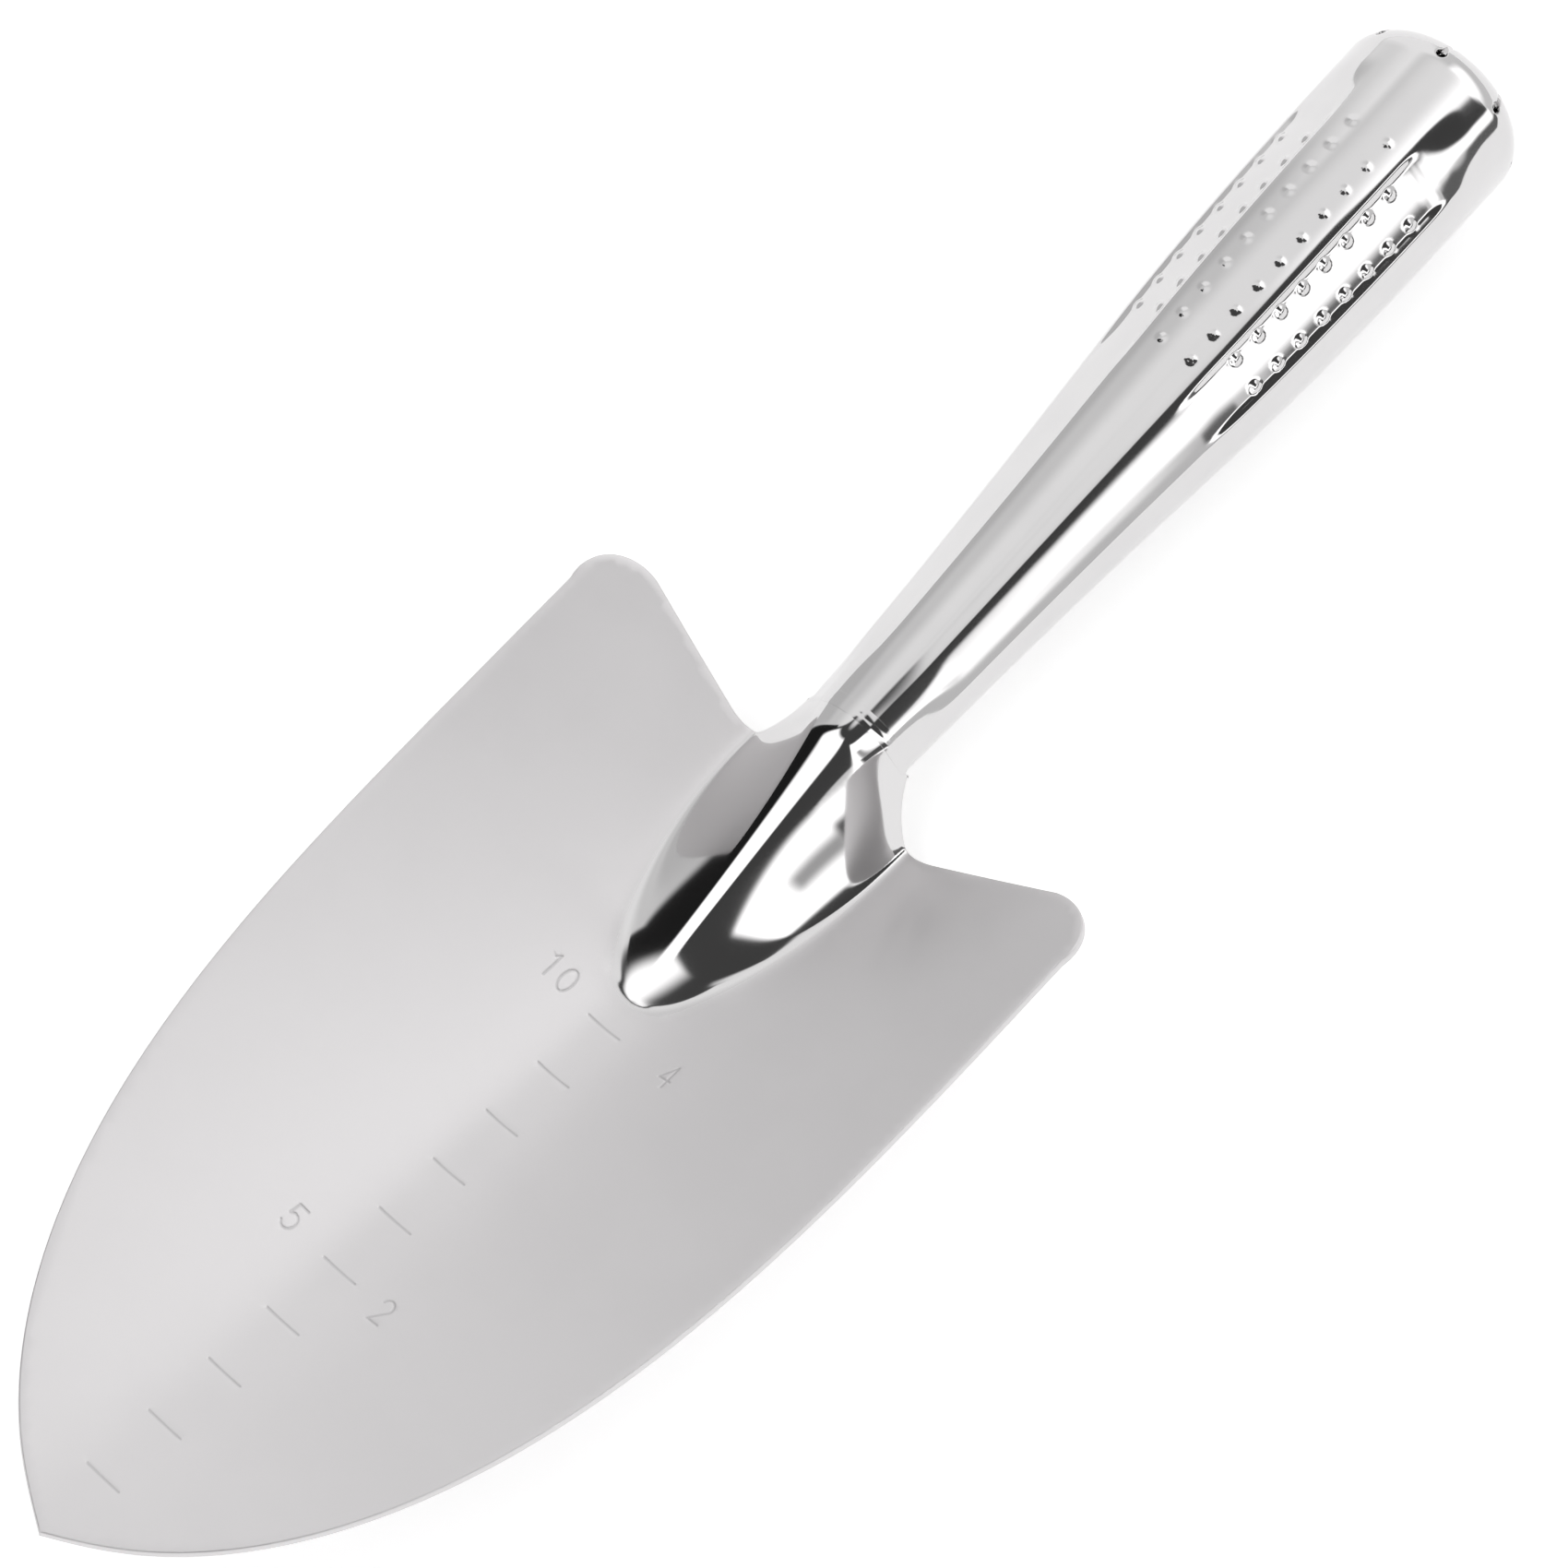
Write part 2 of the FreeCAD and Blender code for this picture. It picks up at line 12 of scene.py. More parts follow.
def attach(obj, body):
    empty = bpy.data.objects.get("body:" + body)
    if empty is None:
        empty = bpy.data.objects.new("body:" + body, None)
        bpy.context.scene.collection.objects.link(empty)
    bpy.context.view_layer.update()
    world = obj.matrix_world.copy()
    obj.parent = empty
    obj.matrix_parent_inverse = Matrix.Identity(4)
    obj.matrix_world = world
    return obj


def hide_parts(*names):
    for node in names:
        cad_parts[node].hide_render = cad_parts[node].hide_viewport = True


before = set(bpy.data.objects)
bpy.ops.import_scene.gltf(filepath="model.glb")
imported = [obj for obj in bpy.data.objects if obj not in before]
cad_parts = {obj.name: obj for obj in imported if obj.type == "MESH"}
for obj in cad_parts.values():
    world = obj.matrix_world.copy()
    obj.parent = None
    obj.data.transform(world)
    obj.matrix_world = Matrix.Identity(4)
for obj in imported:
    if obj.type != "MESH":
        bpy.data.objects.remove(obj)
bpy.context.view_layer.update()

# ------------------------------------------------------------------ sizes, in millimetres
# The blade's own frame: origin under the tip and level with the bottom of the dish, +Y towards
# the handle, +Z out of the hollow side.

GAUGE = 1.2
PLATE_GAUGE = 1.0
LAP_GAP = 0.05
EDGE = 0.22  # rounding of the sheet's cut edges
EDGE_TURNS = tuple(math.radians(t) for t in (30.0, 60.0, 90.0))

TIP_LIFT, TIP_SWEEP = 14.36, 127.9
DISH_FRONT, DISH_REAR, DISH_LENGTH, DISH_ROUND = 0.171, 0.571, 150.0, 6.47

# the trim line in plan: half-widths by distance from the tip, then points back to the collar
FLANK = (
    *((0.0, 0.0), (6.0, 9.9), (16.0, 20.3), (35.0, 31.5)),
    *((60.0, 39.0), (90.0, 42.75), (120.0, 43.9), (141.0, 44.2)),
)
SHOULDER = ((44.2, 141.0), (42.0, 148.4), (36.5, 150.3))
WAIST = (18.5, 146.6)
NECK_PULL = ((13.6, 145.7), (10.0, 148.6))
COLLAR = (8.75, 153.6)

# the ridge's plan and nose, and the line of its crest
RIDGE_START, RIDGE_END, RIDGE_HALF, RIDGE_BOW = 105.3, 145.0, 14.0, 0.6
RIDGE_NOSE, NOSE_HALF, NOSE_BLEND, NOSE_REACH = 104.2, 2.2, 0.45, 9.0
RIDGE_RISE = (3.0, 1.0)  # how far before and after its start the ridge fades in
RIDGE_LEAST, RIDGE_LEAST_BLEND, CREST_FILL = 0.08, 0.1, 0.8
POLISH_FOOT, POLISH_NOSE = (-0.9, 0.25), (1.6, 0.4)  # where the polish fades in, in height and along
CREST_START, CREST_SLOPE, CREST_CURVE, CREST_RADIUS, CREST_OPENS = 0.5, 0.40, 0.00294, 3.3, 3.5
FOOT_BLEND, BEND_BLEND = 1.2, 0.6

# the handle's axis, and its parts by how far along the axis they are
AXIS_Y, AXIS_Z, AXIS_RISE = 154.78, 15.28, math.radians(10.42)
TUBE = ((-4.0, 8.24), (20.0, 9.46), (40.0, 10.79), (60.0, 12.4), (75.0, 13.6), (95.0, 14.5), (120.0, 14.88))
COLLAR_END, TUBE_START, FAIRING_END, FAIRING_SIDE = -3.0, -2.2, 10.0, (78.0, 100.0)
DOME_START, DOME_LENGTH, DOME_DROP, DOME_TURN = 124.6, 6.6, 8.4, math.radians(82.0)
SEAM_WIDTH, SEAM_END = 1.6, 125.4
FACET_FROM, FACET_TO, FACET_FLAT = 25.0, 66.0, 0.75  # degrees from the top, and how flat
FACET_FULL, FACET_FADES, FACET_END, FACET_SOFT = 12.0, 112.0, 121.0, 1.2
PANEL_FROM, PANEL_TO, PANEL_DEPTH = 66.0, 110.0, 0.5
PANEL_RUN_IN, PANEL_FRONT, PANEL_REAR, PANEL_OUT = 7.0, 2.0, 2.0, 2.5
PANEL_EDGE, PANEL_SIDE = 0.5, 5.0  # where its sloping sides begin and end, in degrees
BUMP_FIRST, BUMP_PITCH, BUMP_RADIUS, BUMP_HEIGHT = 66.19, 4.83, 1.25, 0.34
# degrees from the top, first bump, how many, and their size
COLUMNS = ((12.1, 0, 10, 0.75), (33.1, 1, 8, 1.0), (58.1, 1, 8, 1.0))
PETALS, SLIT_ROOT, SLIT_WIDTH, RELIEF_RADIUS = 8, 126.4, 1.2, 0.95
TUBE_EDGE = 0.12

PLATE_FRONT, PLATE_HALF, PLATE_WAIST, PLATE_TAIL = 108.0, 19.0, 10.0, 22.0
PLATE_NARROWS, PLATE_NARROW, PLATE_LIFTS, PLATE_LIFTED = 128.0, 146.0, 140.0, 153.0
PLATE_NOSE, PLATE_NOSE_CUT, PLATE_FLAT, PLATE_FLANGE = 7.0, 0.6, 9.5, 13.0
PLATE_WRAP, PLATE_PLAY = 74.0, 0.15
PLATE_EDGE, DIMPLE = 0.15, 0.16
NUGGET_X, NUGGET_Y, NUGGET_PITCH, NUGGET_RADIUS, NUGGET_ROWS = 15.4, 115.0, 8.5, 1.8, 3
DIMPLE_FROM, DIMPLE_TO, HEAT_REACH = 0.45, 1.15, 1.6  # in nugget radii

NECK_LAP, NECK_SPREAD, NECK_FLUSH = 0.75, 88.0, 0.012
SEAM_LAP, SEAM_CROWN, SEAM_DRESSED = 0.16, 0.05, (100.0, 112.0)
RIPPLE_PITCH, RIPPLE_HEIGHT, RIPPLE_BOW = 1.15, 0.035, 0.35
WELD_EDGE, WELD_SUNK = 0.04, 0.01

NUMERAL_WIDTH, NUMERAL_GAP, TICK_HALF, TICKS, TICK_PITCH = 1.9, 0.9, 2.8, 10, 10.0
LABELS = (("5", -9.2, 49.0), ("10", -9.4, 99.4), ("2", 8.4, 47.6), ("4", 12.2, 97.6))
GROOVE_HALF, GROOVE_DEPTH = 0.22, 0.07

# how the tool rests: tilted back, and moved so that it stands about the row frame's origin
REST_TILT, REST_BACK, REST_LIFT = math.radians(10.3), 144.52, 27.33

CAMERA_PLACE = (0.1334, -0.0396, 0.4148)  # in metres, in the blade's frame
CAMERA_TURN, CAMERA_HEIGHT, CAMERA_ROLL = math.radians(37.25), math.radians(60.71), math.radians(4.89)
CAMERA_LENS, CAMERA_SENSOR, CAMERA_NEAR = 76.57, 36.0, 0.01
FLOOR_REACH, FLOOR_GLOW = 6.0, 0.42

# spacing of the mesh's points
TOP_COARSE, TOP_FINE, LOW_COARSE, LOW_FINE, MARK_SPACING = 1.1, 0.36, 1.6, 0.7, 0.13
FINE_REACH, GRIP_SPACING, BEAD_SPACING = 2.2, 0.33, 0.29
MARK_BOX = ((-14.0, 8.0), (15.0, 106.0))
HALVINGS = 40

# how the blade's frame lies in the row frame, and millimetres to metres
LIE = Matrix.Translation((0.0, -REST_BACK / 1000.0, REST_LIFT / 1000.0)) @ Matrix.Rotation(-REST_TILT, 4, "X")
METRES = LIE @ Matrix.Scale(0.001, 4)


# ------------------------------------------------------------------ curves


def soft_min(a, b, blend):
    """The lesser of two values, rounded over where they are about a blend apart."""
    return 0.5 * (a + b - np.hypot(a - b, blend))


def soft_max(a, b, blend):
    """The greater of two values, rounded in the same way."""
    return 0.5 * (a + b + np.hypot(a - b, blend))


def step(value, low, high):
    """0 below low, 1 above high, and a smooth rise between them."""
    t = np.clip((value - low) / (high - low), 0.0, 1.0)
    return t * t * (3.0 - 2.0 * t)


def through(stations, value):
    """Smooth curve through (place, size) stations, with the last slopes carried on past the ends."""
    places, sizes = np.array(stations, float).T
    width = np.diff(places)
    chords = np.diff(sizes) / width
    slopes = np.concatenate([chords[:1], chords, chords[-1:]])[: len(places)].copy()
    slopes[-1] = chords[-1]
    slopes[1:-1] = (chords[:-1] * width[1:] + chords[1:] * width[:-1]) / (width[:-1] + width[1:])
    value = np.asarray(value, float)
    i = np.clip(np.searchsorted(places, value, side="right") - 1, 0, len(places) - 2)
    raw = (value - places[i]) / width[i]
    t = np.clip(raw, 0.0, 1.0)
    inside = (
        sizes[i] * (1 + 2 * t) * (1 - t) ** 2
        + slopes[i] * width[i] * t * (1 - t) ** 2
        + sizes[i + 1] * t * t * (3 - 2 * t)
        + slopes[i + 1] * width[i] * t * t * (t - 1)
    )
    before = slopes[i] * width[i] * np.minimum(raw, 0.0)
    after = slopes[i + 1] * width[i] * np.maximum(raw - 1.0, 0.0)
    return inside + before + after


# ------------------------------------------------------------------ blade and ridge


def dish(x, y):
    """Hollow face of the blade without its ridge."""
    left = np.maximum(1.0 - y / TIP_SWEEP, 0.0)
    wing = DISH_FRONT + (DISH_REAR - DISH_FRONT) * y / DISH_LENGTH
    return TIP_LIFT * left * left + wing * (np.hypot(x, DISH_ROUND) - DISH_ROUND)


NECK_RADIUS = float(through(TUBE, 0.0))
NECK_TAPER = float(through(TUBE, 4.0) - through(TUBE, -4.0)) / 8.0


def crest(y):
    """Height of the ridge's crest, which bends into the top line of the handle."""
    run = y - RIDGE_START
    rising = CREST_START + CREST_SLOPE * run + CREST_CURVE * run * run
    top_y = AXIS_Y - NECK_RADIUS * math.sin(AXIS_RISE)
    top_z = AXIS_Z + NECK_RADIUS * math.cos(AXIS_RISE)
    level = top_z + math.tan(AXIS_RISE + math.atan(NECK_TAPER)) * (y - top_y)
    return soft_min(rising, level, BEND_BLEND)


def ridge_half(y):
    """Half the ridge's width in plan."""
    back = np.clip((RIDGE_END - y) / (RIDGE_END - RIDGE_NOSE), 0.0, 1.0)
    bowed = RIDGE_HALF * (1.0 - back * back) ** RIDGE_BOW
    return soft_max(bowed, NOSE_HALF, 0.5)


def ridge_radius(y):
    """Radius of the crest's arc, which opens out to the handle's."""
    along = np.clip((y - RIDGE_START) / (AXIS_Y - RIDGE_START), 0.0, 1.0)
    return CREST_RADIUS + (NECK_RADIUS - CREST_RADIUS) * along ** CREST_OPENS


def roof(x, y):
    """The ridge: an arc over the crest, with straight sides tangent to it down to the foot."""
    half = ridge_half(y)
    top = crest(y)
    height = soft_max(top - dish(half, y), RIDGE_LEAST, RIDGE_LEAST_BLEND)
    radius = np.minimum(ridge_radius(y), CREST_FILL * half)
    a = half * half - radius * radius
    b = 2.0 * half * (radius - height)
    c = height * height - 2.0 * radius * height
    slope = (-b + np.sqrt(np.maximum(b * b - 4.0 * a * c, 0.0))) / (2.0 * a)
    tangent = radius * slope / np.hypot(1.0, slope)
    x = np.abs(x)
    arc = top - radius + np.sqrt(np.maximum(radius * radius - np.minimum(x, tangent) ** 2, 0.0))
    return arc - slope * np.maximum(x - tangent, 0.0)


def pressing(x, y):
    """Hollow face of the blade with its ridge."""
    base = dish(x, y)
    share = step(y, RIDGE_START - RIDGE_RISE[0], RIDGE_START + RIDGE_RISE[1])
    blend = NOSE_BLEND + (FOOT_BLEND - NOSE_BLEND) * step(y, RIDGE_START, RIDGE_START + NOSE_REACH)
    return base + (soft_max(base, roof(x, y), blend) - base) * share


def ridge_share(x, y):
    """0 on the plain blade, 1 on the polished ridge."""
    nose = step(y, RIDGE_START - POLISH_NOSE[0], RIDGE_START + POLISH_NOSE[1])
    return step(roof(x, y) - dish(x, y), *POLISH_FOOT) * nose


# ------------------------------------------------------------------ depth scale


def arc_points(cx, cy, radius_x, radius_y, start, end, count=9):
    """Points along part of an ellipse, from one angle to another in degrees."""
    turns = np.radians(np.linspace(start, end, count))
    return [(cx + radius_x * math.cos(t), cy + radius_y * math.sin(t)) for t in turns]


# strokes of the numerals in a box one unit wide and two units high
NUMERALS = {
    "0": [arc_points(0.5, 1.0, 0.5, 1.0, 90, 450, 21)],
    "1": [[(0.25, 1.65), (0.55, 2.0), (0.55, 0.0)]],
    "2": [arc_points(0.5, 1.45, 0.48, 0.55, 165, -30, 9) + [(0.02, 0.0), (1.0, 0.0)]],
    "4": [[(0.75, 0.0), (0.75, 2.0), (0.0, 0.65), (1.0, 0.65)]],
    "5": [[(0.95, 2.0), (0.15, 2.0), (0.08, 1.1)] + arc_points(0.45, 0.65, 0.52, 0.65, 120, -150, 11)],
}


def scale_strokes():
    """Centre lines of the engraved marks: ticks every 10 mm, and centimetres and inches beside them."""
    places = [TICK_PITCH * i for i in range(1, TICKS + 1)]
    strokes = [[(-TICK_HALF, y), (TICK_HALF, y)] for y in places]
    for text, middle, foot in LABELS:
        width = len(text) * NUMERAL_WIDTH + (len(text) - 1) * NUMERAL_GAP
        for k, figure in enumerate(text):
            left = middle - 0.5 * width + k * (NUMERAL_WIDTH + NUMERAL_GAP)
            for line in NUMERALS[figure]:
                strokes.append([(left + NUMERAL_WIDTH * u, foot + NUMERAL_WIDTH * v) for u, v in line])
    return strokes


STROKES = scale_strokes()


def stroke_reach(x, y):
    """Distance of each point from the nearest engraved stroke."""
    near = np.full(np.shape(x), 99.0)
    for line in STROKES:
        for (ax, ay), (bx, by) in zip(line, line[1:]):
            dx, dy = bx - ax, by - ay
            t = np.clip(((x - ax) * dx + (y - ay) * dy) / (dx * dx + dy * dy), 0.0, 1.0)
            near = np.minimum(near, np.hypot(x - ax - t * dx, y - ay - t * dy))
    return near


def engraving(x, y):
    """1 in the middle of a stroke, 0 outside it."""
    return 1.0 - step(stroke_reach(x, y), 0.25 * GROOVE_HALF, GROOVE_HALF)


# ------------------------------------------------------------------ handle


def fade(along):
    """1 where the facets are full, 0 at the collar and at the butt."""
    return step(along, TUBE_START, FACET_FULL) * (1.0 - step(along, FACET_FADES, FACET_END))


def facets(along, angle, size):
    """Distance of the tube's outside from the axis, without bumps; angle is in degrees from the top."""
    turn = np.abs(angle)
    middle, spread = 0.5 * (FACET_FROM + FACET_TO), 0.5 * (FACET_TO - FACET_FROM)
    off = soft_min(np.hypot(turn - middle, 0.01), spread, FACET_SOFT)
    chord = math.cos(math.radians(spread)) / np.cos(np.radians(off))
    flat = 1.0 - FACET_FLAT * fade(along) * (1.0 - np.minimum(chord, 1.0))
    upper = step(turn, FACET_FROM + PANEL_EDGE, FACET_FROM + PANEL_SIDE)
    lower = 1.0 - step(turn, FACET_TO - PANEL_SIDE, FACET_TO - PANEL_EDGE)
    front = step(along, PANEL_FROM - PANEL_RUN_IN, PANEL_FROM + PANEL_FRONT)
    rear = 1.0 - step(along, PANEL_TO - PANEL_REAR, PANEL_TO + PANEL_OUT)
    return size * flat - PANEL_DEPTH * (upper * lower) * (front * rear)


def bumps(along, angle, size):
    """Height of the pressed bumps."""
    rise = np.zeros(np.shape(along + angle))
    for column, first, count, share in COLUMNS:
        for side in (-1.0, 1.0):
            across = np.radians(angle - side * column) * size
            nearest = np.clip(np.round((along - BUMP_FIRST) / BUMP_PITCH), first, first + count - 1)
            far = np.hypot(along - BUMP_FIRST - nearest * BUMP_PITCH, across) / (BUMP_RADIUS * share)
            rise = rise + BUMP_HEIGHT * share ** 2 * (1.0 - np.minimum(far, 1.0) ** 2) ** 1.5
    return rise


def on_axis(along, radius, angle):
    """Points at a distance from the handle's axis; angle is in degrees from the top."""
    up = radius * np.cos(np.radians(angle))
    across = radius * np.sin(np.radians(angle))
    y = AXIS_Y + along * math.cos(AXIS_RISE) - up * math.sin(AXIS_RISE)
    z = AXIS_Z + along * math.sin(AXIS_RISE) + up * math.cos(AXIS_RISE)
    return np.stack(np.broadcast_arrays(across, y, z), -1)


def profile(places):
    """(along, radius) of the wall at distances run along it, straight and then rounded in at the butt."""
    rim = float(through(TUBE, DOME_START))
    arc = 0.5 * (DOME_LENGTH + DOME_DROP)
    turn = np.clip((places - DOME_START) / arc, 0.0, DOME_TURN)
    along = np.minimum(places, DOME_START) + DOME_LENGTH * np.sin(turn)
    radius = np.where(places < DOME_START, through(TUBE, places), rim - DOME_DROP * (1.0 - np.cos(turn)))
    return along, radius


RUN_END = DOME_START + 0.5 * (DOME_LENGTH + DOME_DROP) * DOME_TURN


def collar_radius(along, angle):
    """Distance of the collar's surface from the handle's axis, found by halving."""
    low = np.full(np.shape(along + angle), 5.0)
    high = np.full(low.shape, 13.0)
    for _ in range(HALVINGS):
        middle = 0.5 * (low + high)
        x, y, z = np.moveaxis(on_axis(along, middle, angle), -1, 0)
        under = z < pressing(x, y)
        low = np.where(under, middle, low)
        high = np.where(under, high, middle)
    return low


FAIRED = np.linspace(0.0, NECK_SPREAD, 45)
COLLAR_GAP = collar_radius(COLLAR_END, FAIRED) - float(through(TUBE, COLLAR_END))


def fairing(along, angle):
    """How far the front of the tube is dressed in or out so that it runs on from the collar."""
    turn = np.abs((angle + 180.0) % 360.0 - 180.0)
    gap = np.interp(turn, FAIRED, COLLAR_GAP) * (1.0 - step(turn, *FAIRING_SIDE))
    return gap * (1.0 - step(along, TUBE_START, FAIRING_END))


def tube_wall(places, angle):
    """Points on the outside of the tube, with its facets, bumps and fairing."""
    along, size = profile(places)
    radius = facets(along, angle, size) + bumps(along, angle, size) + fairing(along, angle)
    return on_axis(along, radius, angle)


# ------------------------------------------------------------------ mesh building


def new_piece(name, points, faces, material, replaces=(), marks=None):
    """Mesh object from points in the blade's frame, riding on the tool's one body."""
    mesh = bpy.data.meshes.new(name)
    mesh.from_pydata(np.asarray(points).tolist(), [], faces)
    for title, values in (marks or {}).items():
        layer = mesh.attributes.new(title, "FLOAT", "POINT")
        layer.data.foreach_set("value", np.asarray(values, np.float32))
    mesh.transform(METRES)
    work = bmesh.new()
    work.from_mesh(mesh)
    bmesh.ops.remove_doubles(work, verts=work.verts, dist=2e-6)
    bmesh.ops.recalc_face_normals(work, faces=work.faces)
    work.to_mesh(mesh)
    work.free()
    mesh.shade_smooth()
    mesh.materials.append(material)
    piece = bpy.data.objects.new(name, mesh)
    bpy.context.scene.collection.objects.link(piece)
    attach(piece, "root")
    if replaces:
        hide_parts(*replaces)
    return piece


def grid_normals(points):
    """Unit normals of a grid of points, by rows and columns."""
    along = np.gradient(points, axis=0)
    across = np.gradient(points, axis=1)
    normal = np.cross(across, along)
    return normal / np.maximum(np.linalg.norm(normal, axis=-1, keepdims=True), 1e-12)


def quads(rows, columns, base=0):
    """Quads of a grid whose points are numbered by rows from base."""
    i, j = np.meshgrid(np.arange(rows - 1), np.arange(columns - 1), indexing="ij")
    a = (base + i * columns + j).ravel()
    return np.stack([a, a + 1, a + columns + 1, a + columns], 1)


def bridge(one, two):
    """Quads between two open rows of point numbers."""
    one, two = np.asarray(one), np.asarray(two)
    return np.stack([one[:-1], one[1:], two[1:], two[:-1]], 1)


def edge_rings(top, low, out, edge, numbers_top, numbers_low, base):
    """Softened edge between the two skins of a sheet: new points and the quads that reach across."""
    depth = np.linalg.norm(low - top, axis=1, keepdims=True)
    down = (low - top) / depth
    round_off = np.minimum(edge, 0.45 * depth)
    points, rows = [], [numbers_top]
    for turn in EDGE_TURNS:
        sink, proud = round_off * (1.0 - math.cos(turn)), edge * math.sin(turn)
        points.append(top + down * sink + out * proud)
    for turn in EDGE_TURNS[::-1]:
        sink, proud = round_off * (1.0 - math.cos(turn)), edge * math.sin(turn)
        points.append(low - down * sink + out * proud)
    for k in range(len(points)):
        rows.append(base + k * len(top) + np.arange(len(top)))
    rows.append(numbers_low)
    faces = np.concatenate([bridge(a, b) for a, b in zip(rows, rows[1:])])
    return np.concatenate(points), faces


def sheet_piece(outer, depth, edge):
    """Points and faces of a closed sheet under a grid, softened along all four sides."""
    normal = grid_normals(outer)
    inner = outer - normal * depth
    rows, columns = outer.shape[:2]
    number = np.arange(rows * columns).reshape(rows, columns)
    loop = np.concatenate([number[0, :-1], number[:-1, -1], number[-1, :0:-1], number[::-1, 0]])
    points = [outer.reshape(-1, 3), inner.reshape(-1, 3)]
    faces = [quads(rows, columns), quads(rows, columns, rows * columns)[:, ::-1]]
    top, low = points[0][loop], points[1][loop]
    ring = top[:-1]
    tangent = np.roll(ring, -1, axis=0) - np.roll(ring, 1, axis=0)
    out = np.cross(tangent, normal.reshape(-1, 3)[loop[:-1]])
    out /= np.maximum(np.linalg.norm(out, axis=1, keepdims=True), 1e-12)
    if ((ring - ring.mean(0)) * out).sum() < 0.0:
        out = -out
    out = np.concatenate([out, out[:1]])
    more, sides = edge_rings(top, low, out, edge, loop, loop + rows * columns, 2 * rows * columns)
    return np.concatenate(points + [more]), [f.tolist() for f in np.concatenate(faces + [sides])]


# ------------------------------------------------------------------ blade


def spline(points, spacing):
    """Points about a spacing apart along a natural cubic spline through a few plan points."""
    points = np.array(points, float)
    at = np.concatenate([[0.0], np.cumsum(np.linalg.norm(np.diff(points, axis=0), axis=1))])
    width = np.diff(at)
    count = len(at)
    system = np.eye(count)
    right = np.zeros((count, 2))
    chords = np.diff(points, axis=0) / width[:, None]
    for k in range(1, count - 1):
        system[k, k - 1 : k + 2] = (width[k - 1], 2.0 * (width[k - 1] + width[k]), width[k])
        right[k] = 6.0 * (chords[k] - chords[k - 1])
    bend = np.linalg.solve(system, right)
    place = np.linspace(0.0, at[-1], int(at[-1] / spacing) + 1)
    k = np.clip(np.searchsorted(at, place, side="right") - 1, 0, count - 2)
    after = (place - at[k])[:, None]
    before = (at[k + 1] - place)[:, None]
    span = width[k][:, None]
    curve = (bend[k] * before ** 3 + bend[k + 1] * after ** 3) / (6.0 * span)
    curve += (points[k] / span - bend[k] * span / 6.0) * before
    return curve + (points[k + 1] / span - bend[k + 1] * span / 6.0) * after


def arc_through(start, middle, end, count):
    """Points on the circle through three plan points."""
    a, b, c = (complex(*p) for p in (start, middle, end))
    w = (c - a) / (b - a)
    centre = a + (b - a) * (w - abs(w) ** 2) / (w - w.conjugate())
    spokes = [np.angle(p - centre) for p in (a, c)]
    turns = np.linspace(*spokes, count)
    radius = abs(a - centre)
    return np.stack([centre.real + radius * np.cos(turns), centre.imag + radius * np.sin(turns)], 1)


def bezier(poles, count):
    """Points on a cubic curve with four poles."""
    t = np.linspace(0.0, 1.0, count)[:, None]
    a, b, c, d = (np.array(p, float) for p in poles)
    return a * (1 - t) ** 3 + 3 * b * t * (1 - t) ** 2 + 3 * c * t * t * (1 - t) + d * t ** 3


def along_handle(x, y):
    """How far along the handle's axis a point of the pressing lies."""
    return (y - AXIS_Y) * math.cos(AXIS_RISE) + (pressing(x, y) - AXIS_Z) * math.sin(AXIS_RISE)


def blade_outline():
    """The blade's trim line in plan, counter-clockwise from the tip and squared off at the collar."""
    flank = spline([(x, y) for y, x in FLANK], 0.7)
    shoulder = arc_through(*SHOULDER, 22)
    rear = np.linspace(SHOULDER[-1], WAIST, 32)
    neck = bezier((WAIST, *NECK_PULL, COLLAR), 40)
    side = np.concatenate([flank[1:], shoulder[1:], rear[1:], neck[1:]])
    side = side[along_handle(side[:, 0], side[:, 1]) < COLLAR_END - 0.05]
    end_x = side[-1, 0] * np.cos(np.linspace(0.0, math.pi, 60)[1:-1])
    end_y = np.full(end_x.shape, AXIS_Y + COLLAR_END)
    for _ in range(HALVINGS):
        end_y += COLLAR_END - along_handle(end_x, end_y)
    end = np.stack([end_x, end_y], 1)
    return np.concatenate([[(0.0, 0.0)], side, end, side[::-1] * (-1.0, 1.0)])


def inside(points, loop):
    """Whether each plan point is inside the loop, and how far it is from it."""
    within = np.zeros(len(points), bool)
    near = np.full(len(points), 1e9)
    px, py = points.T
    for (ax, ay), (bx, by) in zip(loop, np.roll(loop, -1, axis=0)):
        if ay != by:
            within ^= ((ay > py) != (by > py)) & (px < (bx - ax) * (py - ay) / (by - ay) + ax)
        dx, dy = bx - ax, by - ay
        t = np.clip(((px - ax) * dx + (py - ay) * dy) / (dx * dx + dy * dy), 0.0, 1.0)
        near = np.minimum(near, np.hypot(px - ax - t * dx, py - ay - t * dy))
    return within, near


def lattice(low, high, spacing):
    """Plan points of an equilateral lattice over a box."""
    points = []
    for k, y in enumerate(np.arange(low[1], high[1], spacing * math.sqrt(0.75))):
        x = np.arange(low[0] + 0.5 * spacing * (k % 2), high[0], spacing)
        points.append(np.stack([x, np.full(x.shape, y)], 1))
    return np.concatenate(points)


def near_ridge(points, reach):
    """Which plan points are on the ridge or within reach of it."""
    x, y = points.T
    return (np.abs(x) < ridge_half(y) + reach) & (y > RIDGE_START - reach)


